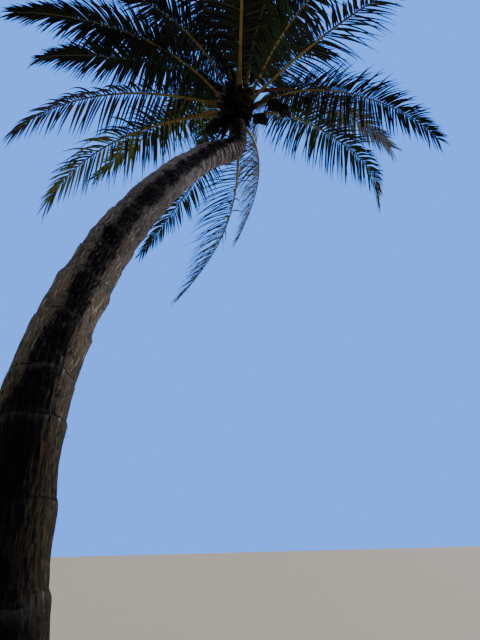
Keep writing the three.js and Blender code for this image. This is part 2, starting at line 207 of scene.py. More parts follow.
class Value:
    """A node's output that takes part in arithmetic."""

    def __init__(self, board: "Board", node: bpy.types.Node, socket: bpy.types.NodeSocket | None) -> None:
        """Wrap one output of a node.

        Args:
            board: The tree that the node is in.
            node: The node.
            socket: The output, or none where the node has none.
        """
        self.board = board
        self.node = node
        self.socket = socket

    def out(self, name: str) -> "Value":
        """Another output of the same node."""
        return Value(self.board, self.node, self.board.pick(self.node.outputs, name))

    @staticmethod
    def is_vector(value: object) -> bool:
        """Whether a value has three parts."""
        return value.socket.type == "VECTOR" if isinstance(value, Value) else isinstance(value, tuple)

    def combine(self, operation: str, first: object, second: object) -> "Value":
        """Join two values by one operation.

        Args:
            operation: The Math or Vector Math operation.
            first: A value, number or triple.
            second: A value, number or triple.

        Returns:
            The result, a vector where either value is one.
        """
        if not (self.is_vector(first) or self.is_vector(second)):
            return self.board.node("ShaderNodeMath", {"operation": operation}, {0: first, 1: second})
        pair = [(v, v, v) if isinstance(v, (int, float)) else v for v in (first, second)]
        return self.board.node("ShaderNodeVectorMath", {"operation": operation}, dict(enumerate(pair)))

    def __add__(self, other: object) -> "Value":
        """The sum."""
        return self.combine("ADD", self, other)

    def __radd__(self, other: object) -> "Value":
        """The sum, the other way round."""
        return self.combine("ADD", other, self)

    def __sub__(self, other: object) -> "Value":
        """The difference."""
        return self.combine("SUBTRACT", self, other)

    def __rsub__(self, other: object) -> "Value":
        """The difference, the other way round."""
        return self.combine("SUBTRACT", other, self)

    def __mul__(self, other: object) -> "Value":
        """The product."""
        return self.combine("MULTIPLY", self, other)

    def __rmul__(self, other: object) -> "Value":
        """The product, the other way round."""
        return self.combine("MULTIPLY", other, self)

    def __truediv__(self, other: object) -> "Value":
        """The quotient."""
        return self.combine("DIVIDE", self, other)

    def __pow__(self, power: float) -> "Value":
        """The value raised to a power."""
        return self.combine("POWER", self, power)

    def __abs__(self) -> "Value":
        """The size of the value without its sign."""
        return self.board.node("ShaderNodeMath", {"operation": "ABSOLUTE"}, {0: self})

    def unit(self) -> "Value":
        """The vector at length one."""
        return self.board.node("ShaderNodeVectorMath", {"operation": "NORMALIZE"}, {0: self})

    def dot(self, other: "Value") -> "Value":
        """The dot product of two vectors."""
        settings = {"operation": "DOT_PRODUCT"}
        return self.board.node("ShaderNodeVectorMath", settings, {0: self, 1: other})

    def cross(self, other: "Value") -> "Value":
        """The cross product of two vectors."""
        settings = {"operation": "CROSS_PRODUCT"}
        return self.board.node("ShaderNodeVectorMath", settings, {0: self, 1: other})


@dataclass(frozen=True)
class Cloud:
    """A cloudy pattern, squeezed along the directions that it is drawn out in."""

    scale: float
    detail: float = 2.0
    rough: float = 0.5
    squeeze: tuple[float, float, float] | None = None


class Board:
    """A node tree that is filled one node at a time."""

    def __init__(self, tree: bpy.types.NodeTree) -> None:
        """Start on an empty tree."""
        self.tree = tree
        tree.nodes.clear()

    @staticmethod
    def pick(sockets: bpy.types.NodeInputs, key: int | str) -> bpy.types.NodeSocket:
        """One socket in use, by its name or by its place among those in use."""
        used = [socket for socket in sockets if socket.enabled]
        return used[key] if isinstance(key, int) else next(s for s in used if s.name == key)

    def node(self, kind: str, settings: dict | None = None, inputs: dict | None = None) -> Value:
        """Add a node.

        Args:
            kind: The node's type.
            settings: Its properties, with a colour ramp's stops under "stops".
            inputs: A value, link or constant for each socket, by name or place.

        Returns:
            Its first output in use.
        """
        node = self.tree.nodes.new(kind)
        for name, setting in (settings or {}).items():
            if name == "stops":
                self.set_stops(node.color_ramp, setting)
            else:
                setattr(node, name, setting)
        for key, value in (inputs or {}).items():
            socket = self.pick(node.inputs, key)
            if isinstance(value, Value):
                self.tree.links.new(value.socket, socket)
            else:
                socket.default_value = value
        used = [socket for socket in node.outputs if socket.enabled]
        return Value(self, node, used[0] if used else None)

    @staticmethod
    def set_stops(ramp: bpy.types.ColorRamp, stops: list[tuple[float, Colour]]) -> None:
        """Give a colour ramp its stops.

        Args:
            ramp: The ramp.
            stops: Each stop's place and colour, lowest first.
        """
        while len(ramp.elements) < len(stops):
            ramp.elements.new(1.0)
        for element, (place, colour) in zip(ramp.elements, stops):
            element.position = place
            element.color = (*colour, 1.0)

    def ramp(self, value: Value, low: float | Value, high: float | Value) -> Value:
        """A soft step from 0 at a low value to 1 at a high one."""
        settings = {"interpolation_type": "SMOOTHSTEP"}
        return self.node("ShaderNodeMapRange", settings, {"Value": value, "From Min": low, "From Max": high})

    def vein(self, value: Value, core: float, edge: float) -> Value:
        """A thin line where a cloudy value crosses one half: 1 within its core, 0 past its edge."""
        return 1 - self.ramp(abs(value - 0.5), core, edge)

    def mix(
        self, factor: Value | float, first: Value | Colour, second: Value | Colour, **settings: str,
    ) -> Value:
        """Mix two colours.

        Args:
            factor: The second colour's share, from 0 to 1.
            first: A colour, as a value or three numbers.
            second: A colour, as a value or three numbers.
            **settings: The node's other properties.

        Returns:
            The mixed colour.
        """
        ends = [(*end, 1.0) if isinstance(end, tuple) else end for end in (first, second)]
        inputs = {"Factor": factor, "A": ends[0], "B": ends[1]}
        return self.node("ShaderNodeMix", {"data_type": "RGBA", **settings}, inputs)

    def shades(self, factor: Value, colour: Colour, low: float, high: float) -> Value:
        """A colour that goes from so much darker to so much lighter."""
        return self.mix(factor, scaled(colour, low), scaled(colour, high))

    def largest(self, *values: Value) -> Value:
        """Compare some values.

        Args:
            *values: The values.

        Returns:
            The largest of them.
        """
        best = values[0]
        for value in values[1:]:
            best = self.node("ShaderNodeMath", {"operation": "MAXIMUM"}, {0: best, 1: value})
        return best

    def noise(self, place: Value, cloud: Cloud) -> Value:
        """Read a cloudy pattern.

        Args:
            place: Where to read it.
            cloud: The pattern.

        Returns:
            A value round one half.
        """
        where = place * cloud.squeeze if cloud.squeeze else place
        inputs = {"Vector": where, "Scale": cloud.scale, "Detail": cloud.detail, "Roughness": cloud.rough}
        return self.node("ShaderNodeTexNoise", None, inputs)

    def place(self) -> Value:
        """The place on the piece, in metres."""
        return self.node("ShaderNodeTexCoord").out("Object")

    def painted(self, name: str, output: str = "Fac") -> Value:
        """What the mesh itself carries under a name."""
        return self.node("ShaderNodeAttribute", {"attribute_name": name}).out(output)

    def bump(self, height: Value, depth: float) -> Value:
        """A surface direction from a height, so deep in metres."""
        return self.node("ShaderNodeBump", None, {"Strength": 1.0, "Distance": depth, "Height": height})


@dataclass(frozen=True)
class Finish:
    """A finish: a named material over one surface."""

    name: str

    def surface(self, board: Board) -> dict[str, object]:
        """Build the pattern on a tree and return what goes into each of the surface's sockets."""
        raise NotImplementedError

    @cache
    def material(self) -> bpy.types.Material:
        """Build the material, once for each finish.

        Returns:
            The material.
        """
        material = bpy.data.materials.new(self.name)
        material.use_nodes = True
        board = Board(material.node_tree)
        shader = board.node("ShaderNodeBsdfPrincipled", None, self.surface(board))
        board.node("ShaderNodeOutputMaterial", None, {"Surface": shader})
        return material


@dataclass(frozen=True)
class LeafSkin(Finish):
    """A leaflet's skin: one green that shifts softly over the crown."""

    colour: Colour
    shift: Cloud = Cloud(2.5)
    grain: Cloud = Cloud(140.0)

    def surface(self, board: Board) -> dict[str, object]:
        """Build a waxy blade with a fine grain.

        Args:
            board: The material's tree.

        Returns:
            What goes into each of the surface's sockets.
        """
        place = board.place()
        grain = board.noise(place, self.grain)
        return {
            "Base Color": board.shades(board.noise(place, self.shift), self.colour, 0.62, 1.4),
            "Roughness": 0.56 + grain * 0.22,
            "Specular IOR Level": 0.25,
            "Normal": board.bump(grain, 0.0006),
        }


@dataclass(frozen=True)
class StalkSkin(Finish):
    """A rib's skin: smooth and fibrous, with streaks and dark flecks."""

    colour: Colour
    fleck: Colour = (0.018, 0.011, 0.006)
    roughness: float = 0.50
    streaks: Cloud = Cloud(22.0, 3.0)
    flecks: Cloud = Cloud(60.0)
    fleck_edge: Span = (0.60, 0.72)

    def surface(self, board: Board) -> dict[str, object]:
        """Build streaks along the rib under scattered flecks.

        Args:
            board: The material's tree.

        Returns:
            What goes into each of the surface's sockets.
        """
        place = board.place()
        streak = board.noise(place, self.streaks)
        fleck = board.ramp(board.noise(place, self.flecks), *self.fleck_edge)
        return {
            "Base Color": board.mix(fleck * 0.7, board.shades(streak, self.colour, 0.6, 1.45), self.fleck),
            "Roughness": self.roughness + streak * 0.25,
            "Specular IOR Level": 0.2,
            "Normal": board.bump(streak + fleck * 0.4, 0.003),
        }


@dataclass(frozen=True)
class FibreSkin(Finish):
    """Dry fibre and sheath: brown, matt and coarsely woven."""

    dark: Colour
    light: Colour
    threads: Cloud = Cloud(55.0, 4.0, 0.6, (1.0, 1.0, 0.25))
    patches: Cloud = Cloud(9.0, 3.0)
    weave_edge: Span = (0.36, 0.64)

    def surface(self, board: Board) -> dict[str, object]:
        """Build crossing threads over broad patches.

        Args:
            board: The material's tree.

        Returns:
            What goes into each of the surface's sockets.
        """
        place = board.place()
        thread = board.noise(place, self.threads)
        weave = board.ramp(board.noise(place, self.patches) * 0.45 + thread * 0.55, *self.weave_edge)
        return {
            "Base Color": board.mix(weave, self.dark, self.light),
            "Roughness": 0.8 + thread * 0.18,
            "Specular IOR Level": 0.1,
            "Normal": board.bump(thread, 0.006),
        }


@dataclass(frozen=True)
class NutSkin(Finish):
    """A young nut's husk: smooth, with broad blotches and a scuffed side."""

    # Both are darkened nearly to black: painted shade over the husk's own green and brown.
    green: Colour = (0.006, 0.008, 0.003)
    brown: Colour = (0.004, 0.003, 0.002)
    blotches: Cloud = Cloud(11.0, 4.0, 0.6)
    blotch_edge: Span = (0.40, 0.60)
    scuffs: Cloud = Cloud(80.0, 3.0)

    def surface(self, board: Board) -> dict[str, object]:
        """Build a green that turns brown in blotches.

        Args:
            board: The material's tree.

        Returns:
            What goes into each of the surface's sockets.
        """
        place = board.place()
        blotch = board.ramp(board.noise(place, self.blotches), *self.blotch_edge)
        scuff = board.noise(place, self.scuffs)
        return {
            "Base Color": board.mix(blotch, self.green, self.brown),
            "Roughness": 0.52 + scuff * 0.25,
            "Specular IOR Level": 0.12,
            "Normal": board.bump(scuff * 0.5 + blotch * 0.5, 0.0015),
        }


@dataclass(frozen=True)
class BarkSkin(Finish):
    """The trunk's bark: ringed, cracked lengthwise and stained down one side, with painted shade in the
    stain, in the creases and in the hollows, and a painted highlight on the scars' lips.
    """

    warm: Colour = (0.056, 0.045, 0.030)
    beige: Colour = (0.270, 0.235, 0.186)
    grey: Colour = (0.248, 0.232, 0.262)
    # A dark stain with painted shade in it, down the side that faces the camera.
    stain: Colour = (0.003, 0.003, 0.009)
    # Near black: painted shade in the cracks, fissures, rings and scar lines.
    crack: Colour = (0.004, 0.004, 0.005)
    # A painted highlight on the swelling lip under each scar.
    lip: Colour = (0.260, 0.240, 0.215)
    lichen: Colour = (0.300, 0.305, 0.300)

    # What the ground colour is multiplied by in hollows, as painted shade, and on worn ridges.
    hollow: Colour = (0.30, 0.28, 0.29)
    worn: Colour = (2.25, 2.15, 2.10)

    # Distances up the trunk: where its colour changes, its whole length, and where the fine
    # rings start and are full.
    warm_below: float = 1.9
    beige_at: float = 3.0
    grey_above: float = 5.2
    length: float = 8.2
    ringed: Span = (4.6, 6.4)

    # The leaf scars: a dark line of painted shade where the bark steps in, wider higher up, over a pale lip,
    # a painted highlight where the bark swells out.
    scar_width: float = 0.019
    scar_growth: float = 1.5
    lip_width: float = 0.055
    wobble_depth: float = 0.05

    # Between which values of a pattern its mark comes in.
    wear_edge: Span = (0.42, 0.76)
    lip_edge: Span = (0.40, 0.75)
    scar_edge: Span = (0.42, 0.54)
    spot_edge: Span = (0.67, 0.73)
    stain_edge: Span = (0.36, 0.66)
    fleck_edge: Span = (0.57, 0.65)
    slit_edge: Span = (0.545, 0.60)
    pit_edge: Span = (0.585, 0.64)

    # The core and the edge of each thin line.
    crack_line: Span = (0.02, 0.10)
    fissure_line: Span = (0.015, 0.065)
    ring_line: Span = (0.015, 0.075)

    # The patterns, drawn out along the trunk or round it.
    fibre: Cloud = Cloud(78.0, 3.0, 0.6, (1.0, 1.0, 0.085))
    strand: Cloud = Cloud(210.0, squeeze=(1.0, 1.0, 0.11))
    patch: Cloud = Cloud(7.0, 3.0, 0.6)
    ring: Cloud = Cloud(25.0, 3.0, 0.45, (0.20, 0.20, 1.0))
    fissure: Cloud = Cloud(120.0, squeeze=(1.0, 1.0, 0.06))
    slit: Cloud = Cloud(54.0, squeeze=(1.0, 1.0, 0.15))
    pit: Cloud = Cloud(40.0, squeeze=(1.0, 1.0, 0.40))
    spot: Cloud = Cloud(16.0, 4.0, 0.65)
    fleck: Cloud = Cloud(95.0, 3.0, 0.6, (1.0, 1.0, 0.25))
    wobble: Cloud = Cloud(13.0, 3.0, 0.6)

    def surface(self, board: Board) -> dict[str, object]:
        """Build the worn ground with painted shade in its hollows, the long stain with painted shade in it,
        the scars' lips lit as a painted highlight, and the creases, darkened as painted shade, on top.

        Args:
            board: The material's tree.

        Returns:
            What goes into each of the surface's sockets.
        """
        wrap = board.painted("bark", "Vector")
        height = board.node("ShaderNodeSeparateXYZ", None, {0: wrap}).out("Z")
        high = board.ramp(height, *self.ringed)
        fibre, strand, patch, ring = (
            board.noise(wrap, cloud) for cloud in (self.fibre, self.strand, self.patch, self.ring)
        )
        scar, lip, band = self.scars(board, wrap, patch, height)
        grain = (fibre * 0.45 + strand * 0.40) * (1 - high * 0.6)
        bark = self.ground(board, height, grain + ring * high * 0.51 + patch * 0.35)
        # The pale lip under each scar is a painted highlight.
        lipped = board.mix(lip * board.ramp(patch, *self.lip_edge), bark, self.lip)
        spots = board.ramp(board.noise(wrap, self.spot), *self.spot_edge)
        mossy = board.mix(spots * 0.4, lipped, self.lichen)
        ragged = (patch - 0.5) * 1.7 + (fibre - 0.5) * 1.5 + (strand - 0.5) * 1.2 + (band - 0.5) * 0.34
        # The long dark band: a stain with painted shade in it.
        bare = board.mix(self.cover(board, wrap, height, ragged), mossy, self.stain)
        # The painted highlight on the lips again, over the stain.
        stained_and_shaded = board.mix(lip * 0.30, bare, self.lip)
        lengthwise = self.creases(board, wrap, fibre) * (1 - high * 0.8)
        creased = board.largest(lengthwise, board.vein(ring, *self.ring_line) * high * 0.7, scar)
        return {
            # The creases are darkened nearly to black as painted shade.
            "Base Color": board.mix(creased * 0.9, stained_and_shaded, self.crack),
            "Roughness": 0.84 + strand * 0.14,
            "Specular IOR Level": 0.08,
            "Normal": board.bump(fibre * 0.5 + strand * 0.2 - creased * 0.6 + patch * 0.3, 0.009),
        }

    def ground(self, board: Board, height: Value, dapple: Value) -> Value:
        """Build the bare bark's colour, with painted shade in its hollows.

        Args:
            board: The material's tree.
            height: The distance up the trunk.
            dapple: Where it is worn and where it is hollow and takes painted shade.

        Returns:
            The colour.
        """
        stops = [
            (0.0, self.warm),
            (self.warm_below / self.length, self.warm),
            (self.beige_at / self.length, self.beige),
            (self.grey_above / self.length, self.grey),
        ]
        plain = board.node("ShaderNodeValToRGB", {"stops": stops}, {"Fac": height / self.length})
        # Painted shade darkens the hollows, and the worn ridges are lighter.
        shade_and_wear = board.mix(board.ramp(dapple, *self.wear_edge), self.hollow, self.worn)
        return board.mix(1.0, plain, shade_and_wear, blend_type="MULTIPLY")

    def cover(self, board: Board, wrap: Value, height: Value, ragged: Value) -> Value:
        """Spread the long stain and the painted shade in it, which flecks of bare bark break up.

        Args:
            board: The material's tree.
            wrap: The place on the trunk.
            height: The distance up the trunk.
            ragged: What tears its edge.

        Returns:
            How far it covers the bark, from 0 to 1.
        """
        fleck = board.ramp(board.noise(wrap, self.fleck), *self.fleck_edge)
        upper = board.ramp(height, self.beige_at * 0.5, self.beige_at)
        spread = board.ramp(board.painted("stain") + ragged, *self.stain_edge)
        return spread * (1 - fleck * (0.16 + upper * 0.26))

    def creases(self, board: Board, wrap: Value, fibre: Value) -> Value:
        """Build what runs along the trunk: cracks, finer fissures, slits and pits.

        Args:
            board: The material's tree.
            wrap: The place on the trunk.
            fibre: The cloud that the cracks follow.

        Returns:
            How deep the bark is creased, from 0 to 1.
        """
        cracks = board.vein(fibre, *self.crack_line)
        fissures = board.vein(board.noise(wrap, self.fissure), *self.fissure_line)
        slits = board.ramp(board.noise(wrap, self.slit), *self.slit_edge)
        pits = board.ramp(board.noise(wrap, self.pit), *self.pit_edge)
        return board.largest(cracks * 0.75, fissures * 0.75, slits * 0.8, pits * 0.8)

    def scars(self, board: Board, wrap: Value, patch: Value, height: Value) -> tuple[Value, ...]:
        """The leaf scars' lines, from how many scars lie below each point.

        Args:
            board: The material's tree.
            wrap: The place on the trunk.
            patch: A broad cloud, which breaks the lines up.
            height: The distance up the trunk.

        Returns:
            The dark lines of painted shade, the pale lips of painted highlight under them and a random value
            for each band between two.
        """
        high = board.ramp(height, *self.ringed)
        gap = board.painted("gap")
        passed = board.painted("scars") + (board.noise(wrap, self.wobble) - 0.5) * self.wobble_depth / gap
        share = board.node("ShaderNodeMath", {"operation": "FRACT"}, {0: passed})
        number = board.node("ShaderNodeMath", {"operation": "FLOOR"}, {0: passed})
        chance = board.node("ShaderNodeTexWhiteNoise", {"noise_dimensions": "1D"}, {"W": number})
        whole = board.ramp(patch + chance * 0.32 + high * 0.18, *self.scar_edge)
        wider = 1 + board.ramp(height, self.warm_below, self.ringed[1]) * self.scar_growth
        line = 1 - board.ramp(share * gap / wider, self.scar_width * 0.45, self.scar_width)
        rim = 1 - board.ramp((1 - share) * gap, 0.0, self.lip_width)
        return line * whole, rim * chance * (1 - high * 0.6), chance


@dataclass(frozen=True)
class PlainSkin(Finish):
    """The studio floor: pale and matt."""

    colour: Colour

    def surface(self, board: Board) -> dict[str, object]:
        """Build one pale colour with a faint cloud in it."""
        cloud = board.noise(board.place(), Cloud(0.4))
        return {"Base Color": board.shades(cloud, self.colour, 0.97, 1.03), "Roughness": 0.9}


FIBRE = FibreSkin("fibre", dark=(0.004, 0.002, 0.002), light=(0.050, 0.026, 0.011))
# Near black: painted shade on the matting at the heart.
SHADED_MATTING = FibreSkin("matting", dark=(0.001, 0.001, 0.001), light=(0.010, 0.006, 0.003))
SHEATH = FibreSkin("sheath", dark=(0.010, 0.006, 0.004), light=(0.150, 0.085, 0.040),
                   threads=Cloud(35.0, 4.0, 0.6, (1.0, 1.0, 0.25)))
# Near black: painted shade on the heart's core.
SHADED_HEARTWOOD = FibreSkin("heart fibre", dark=(0.001, 0.001, 0.001), light=(0.003, 0.002, 0.001))
SHADED_HUSK = NutSkin("nut husk")
CALYX = FibreSkin("calyx", dark=(0.008, 0.006, 0.003), light=(0.060, 0.043, 0.014))
BRACT_SKIN = StalkSkin("dry bract", colour=(0.110, 0.030, 0.018), roughness=0.6)
POD_SKIN = StalkSkin("pod", colour=(0.012, 0.008, 0.006), roughness=0.6)
FRUIT_STALK = StalkSkin("fruit stalk", colour=(0.045, 0.032, 0.011))
SPEAR_SKIN = StalkSkin("spear", colour=(0.110, 0.130, 0.030), fleck=(0.050, 0.062, 0.014))
SPEAR_LEAFLET = LeafSkin("spear_leaflets", (0.110, 0.160, 0.030))


def place_object(name: str, data: bpy.types.ID) -> bpy.types.Object:
    """Put a mesh, a light or a camera in the scene.

    Args:
        name: The object's name.
        data: What it holds.

    Returns:
        The object, at the origin.
    """
    placed = bpy.data.objects.new(name, data)
    bpy.context.scene.collection.objects.link(placed)
    return placed


def carry(mesh: bpy.types.Mesh, name: str, values: np.ndarray) -> None:
    """Give every point of a mesh its own number or vector.

    Args:
        mesh: The mesh.
        name: What the numbers are read by.
        values: One number or one row of three for each point.
    """
    vector = values.ndim == 2
    layer = mesh.attributes.new(name, TRIPLE if vector else "FLOAT", "POINT")
    layer.data.foreach_set("vector" if vector else "value", values.astype(np.float32).ravel())


def declare(piece: bpy.types.Object, slot: str, nodes: list[str]) -> None:
    """Let a piece ride the tree and stand for nodes, and log its size and slot.

    Args:
        piece: The finished piece.
        slot: The slot that its finish belongs to.
        nodes: The frame's nodes that it stands for.
    """
    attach(piece, BODY)
    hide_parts(*nodes)
    triangles = sum(len(face.vertices) - 2 for face in piece.data.polygons)
    LOG.info("%s: %d triangles in slot %s", piece.name, triangles, slot)


class Shell:
    """The points and faces of one mesh, gathered tube by tube."""

    def __init__(self) -> None:
        """Start with nothing."""
        self.points: list[np.ndarray] = []
        self.faces: list[list[int]] = []
        self.count = 0

    def tube(self, rings: np.ndarray) -> None:
        """Add a closed tube.

        Args:
            rings: Rings by points by 3, each ring anticlockwise about the tube's run.
        """
        steps, sides, _ = rings.shape
        here = self.count + np.arange(steps * sides).reshape(steps, sides)
        turned = np.roll(here, -1, axis=1)
        quads = np.stack([here[:-1], turned[:-1], turned[1:], here[1:]], axis=-1)
        self.faces.extend(quads.reshape(-1, 4).tolist())
        self.faces.append(here[0, ::-1].tolist())
        self.faces.append(here[-1].tolist())
        self.points.append(rings.reshape(-1, 3))
        self.count += steps * sides

    def pipe(self, points: np.ndarray, radii: np.ndarray, sides: int) -> None:
        """Add a round tube, whose middle runs along points with a radius at each."""
        runs = unit(np.gradient(points, axis=0))
        self.tube(points[:, None] + around(runs, turns(sides)) * radii[:, None, None])

    def piece(self, name: str, finish: Finish) -> bpy.types.Object:
        """Make the object.

        Args:
            name: The piece's name.
            finish: Its finish.

        Returns:
            The object, at the origin.
        """
        mesh = bpy.data.meshes.new(name)
        mesh.from_pydata(np.concatenate(self.points), [], self.faces)
        mesh.materials.append(finish.material())
        mesh.polygons.foreach_set("use_smooth", [True] * len(mesh.polygons))
        return place_object(name, mesh)


class Bed:
    """Points that blades or nuts grow from, gathered before they grow."""

    def __init__(self) -> None:
        """Start with no points."""
        self.rows: list[dict[str, np.ndarray]] = []

    def sow(self, root: np.ndarray, aim: np.ndarray, face: np.ndarray, **sizes: np.ndarray | float) -> None:
        """Add points.

        Args:
            root: Where each blade leaves from.
            aim: The direction it leaves in.
            face: The direction its upper face looks in.
            **sizes: Its reach, width and hang, each one number or one for each point.
        """
        root, aim, face = np.broadcast_arrays(*np.atleast_2d(root, aim, face))
        row = {"root": root, "aim": unit(aim), "face": unit(face)}
        for name, size in sizes.items():
            row[name] = np.broadcast_to(np.asarray(size, dtype=float), (len(root),))
        self.rows.append(row)

    def gathered(self) -> dict[str, np.ndarray]:
        """All the points as one array for each name."""
        return {name: np.concatenate([row[name] for row in self.rows]) for name in self.rows[0]}


class Growth:
    """A node tree that is run on a mesh of points."""

    def __init__(self, name: str, inputs: tuple[tuple[str, str], ...]) -> None:
        """Open the tree.

        Args:
            name: The tree's name.
            inputs: Each input's name and its socket type.
        """
        self.tree = bpy.data.node_groups.new(name, "GeometryNodeTree")
        sockets = self.tree.interface
        sockets.new_socket("Geometry", in_out="INPUT", socket_type="NodeSocketGeometry")
        for title, kind in (*inputs, ("Finish", "NodeSocketMaterial")):
            sockets.new_socket(title, in_out="INPUT", socket_type=kind)
        sockets.new_socket("Geometry", in_out="OUTPUT", socket_type="NodeSocketGeometry")
        self.board = Board(self.tree)
        self.enter = self.board.node("NodeGroupInput")

    def read(self, name: str, kind: str = "FLOAT") -> Value:
        """What each point carries under a name."""
        return self.board.node("GeometryNodeInputNamedAttribute", {"data_type": kind}, {"Name": name})

    def store(self, geometry: Value, name: str, value: Value, kind: str = "FLOAT") -> Value:
        """Let each point carry a value under a name."""
        inputs = {"Geometry": geometry, "Name": name, "Value": value}
        return self.board.node("GeometryNodeStoreNamedAttribute", {"data_type": kind}, inputs)

    def chance(self, low: object, high: object, seed: int, kind: str = "FLOAT") -> Value:
        """A seeded random value for each point, between two ends."""
        inputs = {"Min": low, "Max": high, "Seed": self.enter.out("Seed") + seed}
        return self.board.node("FunctionNodeRandomValue", {"data_type": kind}, inputs)

    def close(self, geometry: Value) -> None:
        """End the tree.

        Args:
            geometry: What is given its finish and handed out.
        """
        inputs = {"Geometry": geometry, "Material": self.enter.out("Finish")}
        dressed = self.board.node("GeometryNodeSetMaterial", None, inputs)
        self.board.node("NodeGroupOutput", None, {0: dressed})

    def grow(self, name: str, bed: Bed, values: dict[str, object]) -> bpy.types.Object:
        """Run the tree on points and keep the result as a plain mesh.

        Args:
            name: The piece's name.
            bed: The points and what each of them carries.
            values: The tree's inputs by name.

        Returns:
            The grown object, at the origin.
        """
        points = bed.gathered()
        seeds = bpy.data.meshes.new(name + "_seeds")
        seeds.from_pydata(points["root"], [], [])
        for title, carried in points.items():
            carry(seeds, title, carried)
        piece = place_object(name, seeds)
        modifier = piece.modifiers.new(name, "NODES")
        modifier.node_group = self.tree
        for socket in self.tree.interface.items_tree:
            if socket.name in values:
                modifier[socket.identifier] = values[socket.name]
        depsgraph = bpy.context.evaluated_depsgraph_get()
        mesh = bpy.data.meshes.new_from_object(piece.evaluated_get(depsgraph))
        piece.modifiers.remove(modifier)
        for title in (*points, "own"):
            if title in mesh.attributes:
                mesh.attributes.remove(mesh.attributes[title])
        piece.data = mesh
        mesh.name = name
        bpy.data.meshes.remove(seeds)
        return piece


@dataclass(frozen=True)
class BladeShape:
    """The outline and section that a bed of blades shares, one field for each of the tree's sizes."""

    segments: int = 6
    fold: float = 0.55
    thickness: float = 0.0022
    root_share: float = 0.45
    widest: float = 0.22
    tip_share: float = 0.03
    spread: float = 0.085
    length_spread: float = 0.22

    def inputs(self, finish: Finish, seed: int) -> dict[str, object]:
        """The blade tree's inputs by name, with a finish and a seed."""
        sizes = {name.replace("_", " ").capitalize(): size for name, size in asdict(self).items()}
        return {**sizes, "Seed": seed, "Finish": finish.material()}


class BladeGrowth(Growth):
    """Blades that leave their points by a given aim, bend down and end in a tip."""

    SIDES = 4
    HANG_SPREAD = (0.5, 1.6)
    CLOSING_POWER = 1.5
    THINNING = 0.75

    def __init__(self) -> None:
        """Build the tree."""
        number = "NodeSocketFloat"
        super().__init__("blades", (
            ("Segments", "NodeSocketInt"), ("Fold", number), ("Thickness", number),
            ("Root share", number), ("Widest", number), ("Tip share", number),
            ("Spread", number), ("Length spread", number), ("Seed", "NodeSocketInt"),
        ))
        self.close(self.bend(self.stand()))

    def stand(self) -> Value:
        """Vary each point a little and stand a straight blade on it.

        Returns:
            The blades, each point of which carries its place on its own blade.
        """
        board = self.board
        stray = self.chance((-1.0,) * 3, (1.0,) * 3, 1, TRIPLE) * self.enter.out("Spread")
        aim = (self.read("aim", TRIPLE) + stray).unit()
        aimed = self.store(self.enter, "aim", aim, TRIPLE)
        shorter = 1 - self.chance(0.0, 1.0, 2) * self.enter.out("Length spread")
        sized = self.store(aimed, "reach", self.read("reach") * shorter)
        hung = self.store(sized, "hang", self.read("hang") * self.chance(*self.HANG_SPREAD, 3))
        rod = board.node("GeometryNodeMeshCylinder", {"fill_type": "NGON"}, {
            "Vertices": self.SIDES, "Side Segments": self.enter.out("Segments"),
            "Radius": 1.0, "Depth": 1.0,
        })
        place = board.node("GeometryNodeInputPosition")
        blade = self.store(rod, "own", place + (0.0, 0.0, 0.5), TRIPLE)
        standing = board.node("GeometryNodeInstanceOnPoints", None, {"Points": hung, "Instance": blade})
        return board.node("GeometryNodeRealizeInstances", None, {"Geometry": standing})

    def bend(self, blades: Value) -> Value:
        """Lay each blade along its bent line, with its width, fold and thickness.

        Args:
            blades: The straight blades.

        Returns:
            The bent ones.
        """
        board = self.board
        own = board.node("ShaderNodeSeparateXYZ", None, {0: self.read("own", TRIPLE)})
        side, face, along = own.out("X"), own.out("Y"), own.out("Z")
        aim = self.read("aim", TRIPLE)
        reach = self.read("reach")
        fall = self.read("hang") * reach * along ** HANG_POWER
        middle = (aim + DOWN_AXIS * (fall / (HANG_POWER + 1))).unit()
        centre = self.read("root", TRIPLE) + middle * (reach * along)
        run = (aim + DOWN_AXIS * fall).unit()
        top = self.read("face", TRIPLE)
        flat = (top - run * run.dot(top)).unit()
        edge = flat.cross(run)
        root_share, widest = self.enter.out("Root share"), self.enter.out("Widest")
        opening = root_share + (1 - root_share) * board.ramp(along, 0.0, widest)
        past = board.node("ShaderNodeMapRange", None, {"Value": along, "From Min": widest})
        closing = 1 - (1 - self.enter.out("Tip share")) * past ** self.CLOSING_POWER
        half = self.read("width") * 0.5 * opening * closing
        ridge = self.enter.out("Fold") * half * (1 - abs(side))
        skin = self.enter.out("Thickness") * face * (1 - along * self.THINNING)
        place = centre + edge * (side * half) + flat * (ridge + skin)
        return board.node("GeometryNodeSetPosition", None, {"Geometry": blades, "Position": place})


